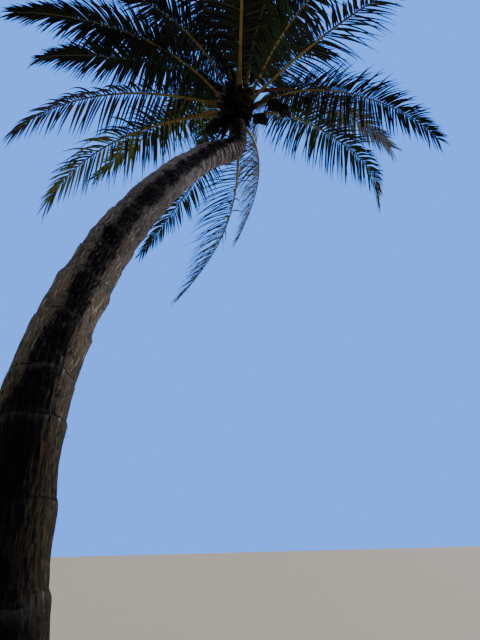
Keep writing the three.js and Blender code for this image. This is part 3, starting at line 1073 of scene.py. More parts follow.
class NutGrowth(Growth):
    """Egg-shaped, faintly three-sided nuts, hung from their points."""

    SEGMENTS = 24
    RINGS = 16
    TAPER = 0.08
    SIZE_SPREAD = (0.86, 1.06)

    def __init__(self) -> None:
        """Build the tree."""
        number = "NodeSocketFloat"
        super().__init__("nuts", (("Stretch", number), ("Ridge", number), ("Seed", "NodeSocketInt")))
        turned = self.board.node(
            "FunctionNodeAxesToRotation", {"primary_axis": "Z", "secondary_axis": "X"},
            {"Primary Axis": self.read("aim", TRIPLE), "Secondary Axis": self.read("face", TRIPLE)},
        )
        hung = self.board.node("GeometryNodeInstanceOnPoints", None, {
            "Points": self.enter, "Instance": self.nut(), "Rotation": turned,
            "Scale": self.read("reach") * self.chance(*self.SIZE_SPREAD, 1),
        })
        self.close(self.board.node("GeometryNodeRealizeInstances", None, {"Geometry": hung}))

    def nut(self) -> Value:
        """Shape one nut of radius one.

        Returns:
            Its geometry.
        """
        board = self.board
        sizes = {"Segments": self.SEGMENTS, "Rings": self.RINGS, "Radius": 1.0}
        ball = board.node("GeometryNodeMeshUVSphere", None, sizes)
        parts = board.node("ShaderNodeSeparateXYZ", None, {0: board.node("GeometryNodeInputPosition")})
        x, y, z = parts.out("X"), parts.out("Y"), parts.out("Z")
        threefold = x * (x * x - 3.0 * y * y)
        belly = 1 + threefold * self.enter.out("Ridge") + z * self.TAPER
        shaped = board.node("ShaderNodeCombineXYZ", None, {
            "X": x * belly, "Y": y * belly, "Z": z * self.enter.out("Stretch"),
        })
        nut = board.node("GeometryNodeSetPosition", None, {"Geometry": ball, "Position": shaped})
        return board.node("GeometryNodeSetShadeSmooth", None, {"Geometry": nut})


BLADES = BladeGrowth()
NUTS = NutGrowth()


@dataclass(frozen=True)
class Waves:
    """A random relief of many waves, which closes round a trunk.

    Attributes:
        round_it: The fewest and the most waves round it.
        lengths: The shortest and the longest wave along it.
        count: How many waves are laid over each other.
    """

    round_it: tuple[int, int]
    lengths: Span
    count: int

    def relief(self, angle: np.ndarray, along: np.ndarray, draw: np.random.Generator) -> np.ndarray:
        """Lay the waves over each other.

        Args:
            angle: The angle round the trunk at each point.
            along: The distance along it.
            draw: The source of random numbers.

        Returns:
            Heights of about one either way.
        """
        total = np.zeros(np.broadcast(angle, along).shape)
        for _ in range(self.count):
            number = draw.integers(*self.round_it, endpoint=True)
            pitch = draw.choice([-1, 1]) * TURN / draw.uniform(*self.lengths)
            total += np.cos(number * angle + pitch * along + draw.uniform(0, TURN))
        return total / math.sqrt(self.count / 2)


@dataclass(frozen=True)
class Easing:
    """A strength of 1 that eases to another over a stretch of the trunk's length."""

    start: float
    stretch: float
    end: float

    def at(self, share: np.ndarray) -> np.ndarray:
        """The strength at shares of the length."""
        return lerp(1.0, self.end, smooth((share - self.start) / self.stretch))


@dataclass(frozen=True)
class Trunk:
    """The leaning trunk, with its scars and cracks in relief and a stain with painted shade in it."""

    # The taper, the flared and lobed foot and the narrowed neck.
    height: float = 7.300
    foot_radius: float = 0.217
    top_radius: float = 0.165
    flare_radius: float = 0.125
    flare_height: float = 0.330
    lobes: int = 7
    lobe_depth: float = 0.08
    buttresses: int = 3
    buttress_depth: float = 0.032
    neck_length: float = 0.900
    neck_cut: float = 0.045

    # The mesh, whose rings turn level towards the cut and square to the crown at the tip.
    curve_samples: int = 4001
    columns: int = 240
    rings: int = 404
    level_foot: float = 0.45
    turned_tip: float = 0.25

    # The step that each leaf scar leaves: its depth as a share of the gap below it, counted up
    # to the widest, how that differs, how it swells and drops, and how much of it the radius
    # gives up so that the trunk stays as thick.
    ledge: float = 0.044
    widest_gap: float = 0.36
    ledge_spread: Span = (0.3, 1.3)
    ledge_power: float = 1.7
    ledge_drop: float = 0.028
    ledge_mean: float = 0.35

    # Where the scars lie: the first, the gap under it, how far past the tip they go on, how
    # the gaps differ, and how a scar slants and wanders as it goes round.
    first_scar: float = -0.6
    first_gap: float = 0.4
    scars_past: float = 0.3
    gap_spread: Span = (0.7, 1.35)
    slant: float = 0.030
    slant_turn: float = 2.2
    wander_depth: float = 0.010

    # The rest of the relief: its waves, depths and where it calms down.
    lumps: Waves = Waves((0, 4), (0.25, 1.1), 16)
    wander: Waves = Waves((1, 5), (0.3, 1.2), 10)
    grain: Waves = Waves((34, 92), (0.16, 0.9), 46)
    coarse: Waves = Waves((12, 40), (0.10, 0.5), 24)
    lump_depth: float = 0.0032
    coarse_depth: float = 0.0016
    crack_depth: float = 0.0045
    crack_width: float = 0.42
    lump_easing: Easing = Easing(0.8, 0.2, 0.35)
    crack_easing: Easing = Easing(0.55, 0.35, 0.55)

    # The torn threads on the scars: how far from the foot and the tip they keep, the fewest
    # and the most on one scar, and their sizes.
    threads_from: float = 0.8
    threads_short_of: float = 0.3
    threads: tuple[int, int] = (2, 4)
    thread_reach: Span = (0.02, 0.05)
    thread_width: float = 0.007
    thread_sunk: float = 0.004
    thread_lift: float = 0.6
    thread_shape: BladeShape = BladeShape(segments=3, fold=0.3, thickness=0.0015, spread=0.3)

    seed: int = 41

    # Where the stain runs, with painted shade in it down the side that faces the camera: share of the length,
    # angle round the trunk, half width.
    stain_path: tuple[tuple[float, float, float], ...] = (
        (0.00, 268.0, 104.0),
        (0.14, 268.0, 98.0),
        (0.22, 272.0, 62.0),
        (0.30, 294.0, 36.0),
        (0.36, 302.0, 30.0),
        (0.44, 304.0, 34.0),
        (0.50, 305.0, 34.0),
        (0.625, 312.0, 33.0),
        (0.75, 317.0, 35.0),
        (0.81, 314.0, 40.0),
        (0.875, 300.0, 40.0),
        (0.95, 268.0, 48.0),
        (1.00, 256.0, 66.0),
    )
    stain_softness: float = 1.4

    # How far apart the leaf scars lie: share of the length, distance.
    scar_gaps: tuple[tuple[float, float], ...] = (
        (0.00, 0.44),
        (0.35, 0.34),
        (0.60, 0.25),
        (0.80, 0.17),
        (0.90, 0.075),
        (1.00, 0.050),
    )

    def spine(self) -> tuple[np.ndarray, np.ndarray, np.ndarray]:
        """Sample the centreline evenly.

        Returns:
            The distance along, the places and the unit runs.
        """
        inner = np.array(TRUNK_LINE)
        held = np.vstack([2 * inner[0] - inner[1], inner, 2 * inner[-1] - inner[-2]])
        at = np.linspace(0, len(inner) - 1, self.curve_samples)
        first = np.minimum(at.astype(int), len(inner) - 2)
        t = (at - first)[:, None]
        before, start, end, after = (held[first + k] for k in range(4))
        leave, arrive = (end - before) / 2, (after - start) / 2
        rise = end - start
        square, cube = 3 * rise - 2 * leave - arrive, leave + arrive - 2 * rise
        curve = start + t * leave + t * t * square + t ** 3 * cube
        lengths = np.concatenate([[0], np.cumsum(np.linalg.norm(np.diff(curve, axis=0), axis=1))])
        even = np.linspace(0, lengths[-1], self.rings)
        places = np.stack([np.interp(even, lengths, curve[:, k]) for k in range(3)], axis=1)
        runs = unit(np.gradient(places, axis=0))
        turned = smooth((even - even[-1] + self.turned_tip) / self.turned_tip)[:, None]
        return even, places, unit(lerp(runs, CROWN_AXIS, turned))

    def radius(self, height: np.ndarray) -> np.ndarray:
        """The mean radius.

        Args:
            height: Heights above the cut.

        Returns:
            The radius at each.
        """
        shaft = lerp(self.foot_radius, self.top_radius, height / self.height)
        flare = self.flare_radius * np.exp(-height / self.flare_height)
        neck = self.neck_cut * smooth((height - self.height + self.neck_length) / self.neck_length)
        return shaft + flare - neck

    def outline(self, theta: np.ndarray, height: np.ndarray, share: np.ndarray) -> np.ndarray:
        """The radius that the bark's relief stands on.

        Args:
            theta: The angle round the trunk at each point.
            height: The height of each ring.
            share: The share of the length at each point.

        Returns:
            The radius at each point, with the foot's lobes.
        """
        lobe = self.lobe_depth * np.cos(self.lobes * theta)
        buttress = self.buttress_depth * np.sin(self.buttresses * theta)
        lobed = 1 + np.exp(-height / self.flare_height) * (lobe + buttress)
        return self.radius(height) * lobed - self.ledge * self.scar_gap(share) * self.ledge_mean

    def scar_gap(self, share: np.ndarray | float) -> np.ndarray:
        """The usual distance between scars at a share of the trunk's length."""
        places, gaps = np.array(self.scar_gaps).T
        return np.interp(share, places, gaps)

    def marks(self, length: float, draw: np.random.Generator) -> np.ndarray:
        """Lay out the scars from below the foot to past the tip.

        Args:
            length: The trunk's length.
            draw: The source of random numbers.

        Returns:
            The distance of each scar along the trunk.
        """
        places = [self.first_scar]
        while places[-1] < length + self.scars_past:
            gap = self.scar_gap(places[-1] / length)
            places.append(places[-1] + gap * draw.uniform(*self.gap_spread))
        return np.array(places)

    def ledges(self, along: np.ndarray, marks: np.ndarray, heights: np.ndarray) -> np.ndarray:
        """The stepped outline that leaf scars leave.

        Args:
            along: The distance along the trunk at each point.
            marks: Where the scars lie.
            heights: How far the bark stands out at each.

        Returns:
            The relief.
        """
        index = np.clip(np.searchsorted(marks, along, side="right") - 1, 0, len(marks) - 2)
        past = along - marks[index]
        gap = marks[index + 1] - marks[index]
        swell = heights[index + 1] * np.clip(past / gap, 0, 1) ** self.ledge_power
        return swell + heights[index] * (1 - smooth(past / self.ledge_drop))

    def relief(
        self, theta: np.ndarray, along: np.ndarray, length: float, draw: np.random.Generator,
    ) -> tuple[np.ndarray, np.ndarray, np.ndarray]:
        """Work out the bark's relief.

        Args:
            theta: The angle round the trunk at each point.
            along: The distance along it.
            length: The trunk's length.
            draw: The source of random numbers.

        Returns:
            How far each point stands out, how many scars lie below it, and where the scars lie.
        """
        lumps = self.lumps.relief(theta, along, draw)
        wander = self.wander.relief(theta, along, draw)
        slanted = along + self.slant * np.sin(theta + self.slant_turn * along) + self.wander_depth * wander
        marks = self.marks(length, draw)
        gaps = np.minimum(np.diff(marks, prepend=marks[0] - self.first_gap), self.widest_gap)
        rise = self.ledge * gaps * draw.uniform(*self.ledge_spread, len(marks))
        grain = self.grain.relief(theta, along, draw)
        coarse = self.coarse.relief(theta, along, draw)
        furrows = 1 - smooth(np.abs(grain) / self.crack_width)
        out = (
            self.lump_depth * lumps * self.lump_easing.at(along / length)
            + self.ledges(slanted, marks, rise)
            + self.coarse_depth * coarse
            - self.crack_depth * furrows * self.crack_easing.at(along / length)
        )
        return out, np.interp(slanted, marks, np.arange(len(marks))), marks

    def stain(self, theta: np.ndarray, share: np.ndarray) -> np.ndarray:
        """Spread the long stain and the painted shade in it.

        Args:
            theta: The angle round the trunk at each point.
            share: The share of its length.

        Returns:
            How strongly it covers each point, from 0 to 1.
        """
        shares, angle, width = np.array(self.stain_path).T
        middle = np.radians(np.interp(share, shares, angle))
        half = np.radians(np.interp(share, shares, width))
        aside = np.abs((theta - middle + math.pi) % TURN - math.pi)
        return 1 - smooth(aside / half / self.stain_softness)

    def build(self) -> None:
        """Build the bark, what its finish reads from it and the threads on its scars."""
        draw = np.random.default_rng(self.seed)
        even, places, runs = self.spine()
        theta, along = np.meshgrid(turns(self.columns), even)
        share = along / even[-1]
        height = places[:, 2:3]
        relief, passed, marks = self.relief(theta, along, even[-1], draw)
        reach = (self.outline(theta, height, share) + relief)[..., None]
        points = places[:, None] + around(runs, theta) * reach
        level = 1 - smooth(along / self.level_foot)
        slide = (points[..., 2] - height) * level / runs[:, 2:3]
        points = points - runs[:, None] * slide[..., None]

        shell = Shell()
        shell.tube(points)
        piece = shell.piece("trunk_bark", BarkSkin("palm bark"))
        mean = self.radius(height)
        wrap = np.stack([np.cos(theta) * mean, np.sin(theta) * mean, along], axis=-1)
        carry(piece.data, "bark", wrap.reshape(-1, 3))
        # The stain and the painted shade in it, for the bark's finish to read.
        carry(piece.data, "stain", self.stain(theta, share).ravel())
        carry(piece.data, "scars", passed.ravel())
        carry(piece.data, "gap", self.scar_gap(share).ravel())
        declare(piece, "bark", ["trunk"])
        self.build_threads(points, marks, even, draw)

    def build_threads(
        self, points: np.ndarray, marks: np.ndarray, even: np.ndarray, draw: np.random.Generator,
    ) -> None:
        """Build the torn threads that stand on the scars.

        Args:
            points: The trunk's rings of points.
            marks: Where the scars lie.
            even: How far along the trunk each ring lies.
            draw: The source of random numbers.
        """
        bed = Bed()
        for mark in marks[(marks > self.threads_from) & (marks < even[-1] - self.threads_short_of)]:
            ring = points[int(np.searchsorted(even, mark)) - 1]
            for _ in range(draw.integers(*self.threads, endpoint=True)):
                root = ring[draw.integers(0, self.columns)]
                out = unit(root - ring.mean(axis=0))
                bed.sow(
                    root - out * self.thread_sunk, out + UP * self.thread_lift, UP,
                    reach=draw.uniform(*self.thread_reach), width=self.thread_width, hang=0.0,
                )
        inputs = self.thread_shape.inputs(FIBRE, self.seed)
        declare(BLADES.grow("scar_threads", bed, inputs), "bark", ["trunk"])


class Line(NamedTuple):
    """Places along a rib or a stalk, with the directions at each."""

    place: np.ndarray
    run: np.ndarray
    side: np.ndarray
    up: np.ndarray

    def rings(self, wide: np.ndarray, tall: np.ndarray) -> np.ndarray:
        """Points so far to the right and so far up from each place, one ring for each row."""
        aside = wide[..., None] * self.side[:, None]
        return self.place[:, None] + aside + tall[..., None] * self.up[:, None]


@dataclass(frozen=True)
class Frond:
    """One frond's rule: how it leaves the heart, droops and carries its leaflets.

    Attributes:
        heading: The compass angle that it leaves in.
        rise: How steeply it leaves, above level.
        droop: How far its tip has bent down.
        swing: How far its tip has turned aside.
        length: The length of its rib.
        seat: How far up the heart it sits.
        roll: How far its blade is turned about the rib.
        lift: How far its leaflets stand up from the blade.
        hang: How strongly they bend down.
        leaflet: The length of its longest leaflet.
        inner: The tone of the leaflets nearer to the heart.
        outer: The tone of those further out.
        comb: How far they are swept along the rib: 1 fully, 0 as in the frame, below 0 fanned out.
    """

    heading: float
    rise: float
    droop: float
    swing: float
    length: float
    seat: float
    roll: float
    lift: float
    hang: float
    leaflet: float
    inner: Tone = Tone.DEEP
    outer: Tone = Tone.DEEP
    comb: float = 1.0

    def run(self, share: np.ndarray) -> np.ndarray:
        """The direction that the rib runs in.

        Args:
            share: Shares of the rib's length.

        Returns:
            The unit direction at each.
        """
        elevation = np.radians(self.rise - self.droop * share ** DROOP_POWER)
        level = compass(self.heading + self.swing * share * share)
        return level * np.cos(elevation)[..., None] + UP * np.sin(elevation)[..., None]

    def line(self, share: np.ndarray) -> Line:
        """The rib's places and directions.

        Args:
            share: Shares of the rib's length, rising from 0.

        Returns:
            Its places, runs, right sides and upper sides.
        """
        fine = np.linspace(0, 1, RIB_SAMPLES)
        middle = (fine[1:] + fine[:-1]) / 2
        steps = self.run(middle) * self.length / len(middle)
        out = compass(self.heading) * (heart_radius(self.seat) - BASE_SUNK)
        start = HEART_FOOT + CROWN_AXIS * self.seat + out
        curve = np.vstack([start, start + np.cumsum(steps, axis=0)])
        place = np.stack([np.interp(share, fine, curve[:, k]) for k in range(3)], axis=-1)
        run = self.run(share)
        level = compass(self.heading + self.swing * share * share - 90)
        above = np.cross(level, run)
        roll = np.radians(self.roll * smooth(share / ROLL_REACH))[..., None]
        side = level * np.cos(roll) + above * np.sin(roll)
        return Line(place, run, side, above * np.cos(roll) - level * np.sin(roll))


def bare_line(heading: float, rise: float, droop: float, length: float, seat: float) -> Frond:
    """A stalk without leaflets, which keeps to the fronds' rule."""
    return Frond(heading, rise, droop, 0, length, seat, 0, 0, 0, 0)


def heart_radius(height: np.ndarray | float) -> np.ndarray:
    """The heart's radius at a distance up the crown's axis."""
    heights, radii = np.array(HEART_PROFILE).T
    return np.interp(height, heights, radii)


def stalk_width(share: np.ndarray) -> np.ndarray:
    """The width of a frond's stalk, its broad base left out."""
    return lerp(STALK_WIDTH, TIP_WIDTH, np.asarray(share) ** TAPER_POWER)


def rib_width(share: np.ndarray) -> np.ndarray:
    """The width of a frond's rib."""
    return stalk_width(share) + (BASE_WIDTH - STALK_WIDTH) * (1 - smooth(share / BASE_SHARE))


# Each frond's heading, rise, droop, swing, length, seat, roll, lift, hang, leaflet, tones and comb.
FRONDS = (
    Frond(173, 4, 72, 0, 3.25, 0.240, 0, 0, 1.5, 0.85, Tone.DEEP, Tone.OLIVE),
    Frond(193, 7, 64, -4, 3.25, 0.330, 0, -10, 2.2, 0.75, Tone.DEEP, Tone.BRONZE),
    Frond(166, 60, 112, 55, 3.80, 0.520, 0, 5, 1.2, 0.80),
    Frond(184, 60, 98, 26, 3.95, 0.430, 0, 5, 1.2, 0.80),
    Frond(188, 76, 78, 22, 3.20, 0.560, 0, 10, 0.8, 0.80),
    Frond(148, 81, 64, 4, 3.20, 0.720, 0, 15, 0.5, 0.75, Tone.FOREST),
    Frond(226, 82, 72, -30, 3.20, 0.640, 0, 15, 0.6, 0.75),
    Frond(274, 44, 85, -10, 3.20, 0.400, 0, 10, 0.8, 0.80),
    Frond(268, 80, 66, -24, 3.30, 0.590, 0, 10, 0.6, 0.80),
    Frond(304, 76, 66, 20, 3.20, 0.500, 0, 10, 0.7, 0.80),
    Frond(328, 80, 60, 26, 3.10, 0.680, 0, 15, 0.5, 0.75, Tone.FOREST),
    Frond(31, 79, 73, -2, 3.15, 0.690, 0, 15, 0.5, 0.75, Tone.FOREST),
    Frond(328, 62, 38, 34, 3.10, 0.430, 0, 10, 0.8, 0.75, Tone.FOREST, Tone.DEEP),
    Frond(313, 5, 60, -30, 3.00, 0.250, 0, 0, 1.2, 0.72, Tone.DEEP, Tone.DEEP),
    Frond(22, 49, 114, -24, 4.10, 0.380, 0, 5, 1.2, 0.80, Tone.DEEP, Tone.DEEP, -1.0),
    Frond(38, 54, 104, -24, 3.85, 0.470, 0, 0, 1.4, 0.80, Tone.ASH, Tone.ASH, 0.0),
    Frond(40, 46, 146, -50, 3.70, 0.270, 0, 0, 1.6, 0.80, Tone.FOREST, Tone.FOREST, -0.5),
    Frond(73, 34, 80, 58, 3.70, 0.150, 65, 40, 0.8, 0.75, Tone.ASH, Tone.ASH),
    Frond(90, 2, 44, 66, 4.15, 0.060, 42, 38, 0.8, 0.90, Tone.FOREST, Tone.OLIVE),
    Frond(113, 14, 63, 43, 3.65, 0.280, -40, 10, 1.8, 0.55, Tone.FOREST, Tone.FOREST),
    Frond(142, 36, 80, 20, 3.25, 0.410, 0, 0, 1.4, 0.70, Tone.SUNLIT, Tone.OLIVE),
    Frond(62, 80, 68, 0, 3.10, 0.600, 0, 10, 0.8, 0.75, Tone.SUNLIT, Tone.FOREST),
    Frond(108, 62, 82, 0, 3.20, 0.540, 0, 10, 0.8, 0.75, Tone.SUNLIT, Tone.FOREST),
    Frond(126, 66, 85, 0, 3.20, 0.630, 0, 10, 0.8, 0.75, Tone.FOREST, Tone.SUNLIT),
)


@dataclass(frozen=True)
class Crown:
    """All the fronds: their ribs by stretch and their leaflets by tone."""

    fronds: tuple[Frond, ...] = FRONDS

    # The ribs, a little fuller than the frame's.
    rib_fullness: float = 1.28
    section_sides: int = 12
    rib_steps: int = 52
    fewest_steps: int = 6

    # The upper face of a rib: how flat it is and how deep its channel.
    flatness: float = 0.72
    channel: float = 0.12

    # The foot that clasps the heart: how far it reaches down, its size, how far off the heart it
    # lies, how it bends and curls, and how soon it is as wide as it gets.
    boot_drop: float = 0.17
    boot_width: float = 0.185
    boot_depth: float = 0.020
    boot_gap: float = 0.004
    boot_knee: float = 0.75
    boot_wrap: float = 2.6
    boot_opening: Span = (0.25, 3.25)
    boot_steps: int = 7

    # The leaflets, closer and broader on fronds that rise steeply: how unevenly they stand,
    # where on the rib's section they sit, and the width of the shortest as a share.
    upright_rise: Span = (30.0, 60.0)
    spacings: Span = (0.042, 0.020)
    widths: Span = (0.034, 0.037)
    jitter: float = 0.35
    seat_out: float = 0.34
    seat_up: float = 0.2
    narrowest: float = 0.6

    # How the leaflets gather in clumps, and how unevenly they are lifted.
    clump: float = 6.0
    clump_waves: int = 4
    clump_rate: Span = (6, 26)
    lift_spread: float = 5.0

    # Where the inner tone gives way to the outer, and how many leaflets take a dark one, a painted shade,
    # instead.
    change_at: float = 0.5
    change_spread: float = 0.06
    stray_tone: float = 0.14
    stray_tones: tuple[Tone, ...] = (Tone.DEEP, Tone.FOREST)

    shape: BladeShape = BladeShape()
    seed: int = 7

    def nodes(self) -> list[str]:
        """The names of all the frame's frond nodes."""
        return sorted(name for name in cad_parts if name.startswith("frond_"))

    def section(
        self, line: Line, half: np.ndarray, deep: np.ndarray, wrap: np.ndarray | float = 0.0,
    ) -> np.ndarray:
        """The rings of a rib.

        Args:
            line: Where it runs.
            half: Half of its width at each place.
            deep: Half of its depth.
            wrap: How strongly its edges curl towards the upper face.

        Returns:
            Rings by points by 3, each ring anticlockwise about the rib's run.
        """
        turn = turns(self.section_sides)
        half, deep = half[:, None], deep[:, None]
        wide = half * np.cos(turn)
        low = -deep * np.sin(turn)
        high = low * self.flatness - deep * self.channel * np.cos(turn) ** 2
        tall = np.where(low > 0, high, low) + wrap * wide * wide
        return line.rings(wide, tall)

    def boot(self, frond: Frond) -> np.ndarray:
        """The clasping foot of a rib, from low on the heart up to the rib itself.

        Args:
            frond: The frond.

        Returns:
            The foot's rings.
        """
        low = frond.seat - self.boot_drop
        out = compass(frond.heading) * (heart_radius(low) + self.boot_gap)
        foot = HEART_FOOT + CROWN_AXIS * low + out
        knee = foot + CROWN_AXIS * self.boot_drop * self.boot_knee
        head = frond.line(np.array([RIB_FROM]))
        share = np.arange(self.boot_steps) / self.boot_steps
        t = share[:, None]
        place = foot * (1 - t) ** 2 + knee * 2 * t * (1 - t) + head.place * t * t
        way = unit(lerp(CROWN_AXIS, head.run, t))
        level = np.broadcast_to(compass(frond.heading - 90), way.shape)
        opening = smooth(lerp(*self.boot_opening, share))
        half = lerp(self.boot_width, BASE_WIDTH * self.rib_fullness, share) / 2 * opening
        deep = lerp(self.boot_depth, RIB_DEPTH * STALK_WIDTH * self.rib_fullness, share * share) / 2
        line = Line(place, way, level, np.cross(level, way))
        return self.section(line, half, deep, lerp(self.boot_wrap, 0.0, t))

    def ribs(self) -> None:
        """Build every rib, one piece for each stretch."""
        low = RIB_FROM
        for zone in RibZone:
            high, colour = zone.value
            share = np.linspace(low, high, max(self.fewest_steps, round(self.rib_steps * (high - low))))
            half = rib_width(share) / 2 * self.rib_fullness
            deep = RIB_DEPTH * stalk_width(share) / 2 * self.rib_fullness
            shell = Shell()
            for frond in self.fronds:
                rings = self.section(frond.line(share), half, deep)
                shell.tube(np.concatenate([self.boot(frond), rings]) if zone is RibZone.FOOT else rings)
            name = f"ribs_{zone.name.lower()}"
            declare(shell.piece(name, StalkSkin(name, colour)), "leaf", self.nodes())
            low = high

    def leaflets(self) -> None:
        """Grow every leaflet, one piece for each tone."""
        draw = np.random.default_rng(self.seed)
        beds = {tone: Bed() for tone in Tone}
        for frond in self.fronds:
            for hand in (-1, 1):
                self.rank(frond, hand, beds, draw)
        for tone, bed in beds.items():
            name = f"leaflets_{tone.name.lower()}"
            inputs = self.shape.inputs(LeafSkin(name, tone.value), self.seed)
            declare(BLADES.grow(name, bed, inputs), "leaf", self.nodes())

    def rank(self, frond: Frond, hand: int, beds: dict[Tone, Bed], draw: np.random.Generator) -> None:
        """Sow one rank of a frond's leaflets.

        Args:
            frond: The frond.
            hand: 1 for the right side of its rib and -1 for the left.
            beds: The bed of each tone.
            draw: The source of random numbers.
        """
        gap = np.interp(frond.rise, self.upright_rise, self.spacings)
        count = round(frond.length * (1 - LEAFLET_START) / gap)
        blade = (np.arange(count) + 0.5 + draw.uniform(-self.jitter, self.jitter, count)) / count
        share = lerp(LEAFLET_START, 1, blade)
        line = frond.line(share)
        aim = self.aims(frond, hand, blade, line, draw)
        opening = lerp(FIRST_LEAFLET, 1, smooth(blade / FULL_FROM))
        size = opening * (1 - FADE * smooth((blade - FADE_FROM) / (1 - FADE_FROM)))
        width = np.interp(frond.rise, self.upright_rise, self.widths)
        out = line.side * (hand * self.seat_out * rib_width(share))[:, None]
        root = line.place + out + line.up * (self.seat_up * RIB_DEPTH * stalk_width(share))[:, None]
        tones = self.tones(frond, share, draw)
        for tone, bed in beds.items():
            here = tones == tone.name
            if here.any():
                bed.sow(
                    root[here], aim[here], line.up[here], reach=frond.leaflet * size[here],
                    width=width * lerp(self.narrowest, 1.0, size[here]), hang=frond.hang,
                )

    def aims(
        self, frond: Frond, hand: int, blade: np.ndarray, line: Line, draw: np.random.Generator,
    ) -> np.ndarray:
        """The directions that one rank's leaflets leave the rib in.

        Args:
            frond: The frond.
            hand: 1 for the right side of its rib and -1 for the left.
            blade: How far along the leafy part each stands, from 0 to 1.
            line: The rib's places and directions there.
            draw: The source of random numbers.

        Returns:
            A unit direction for each.
        """
        ripple = sum(
            np.sin(TURN * blade * draw.uniform(*self.clump_rate) + draw.uniform(0, TURN))
            for _ in range(self.clump_waves)
        ) / 2
        tip = lerp(LEAFLET_ANGLE_TIP, COMBED_ANGLE_TIP, frond.comb)
        power = lerp(LEAFLET_ANGLE_POWER, COMBED_ANGLE_POWER, frond.comb)
        angle = lerp(LEAFLET_ANGLE_BASE, tip, blade ** power) + self.clump * ripple
        angle = np.radians(angle)[:, None]
        lift = np.radians(frond.lift + draw.normal(0, self.lift_spread, len(blade)))[:, None]
        level = line.side * (hand * np.sin(angle) * np.cos(lift))
        return line.run * np.cos(angle) + level + line.up * (np.sin(angle) * np.sin(lift))

    def tones(self, frond: Frond, share: np.ndarray, draw: np.random.Generator) -> np.ndarray:
        """Deal out the tones.

        Args:
            frond: The frond.
            share: Where on its rib each leaflet stands.
            draw: The source of random numbers.

        Returns:
            The name of each leaflet's tone.
        """
        count = len(share)
        past = share > self.change_at + draw.normal(0, self.change_spread, count)
        tones = np.where(past, frond.outer.name, frond.inner.name)
        stray = draw.random(count) < self.stray_tone
        return np.where(stray, draw.choice([tone.name for tone in self.stray_tones], count), tones)

    def build(self) -> None:
        """Build the ribs and the leaflets."""
        self.ribs()
        self.leaflets()


class Sheaths(NamedTuple):
    """A fan of hanging sheaths: its name, finish, headings, count and usual reach and width."""

    name: str
    finish: Finish
    headings: Span
    count: int
    reach: float
    width: float


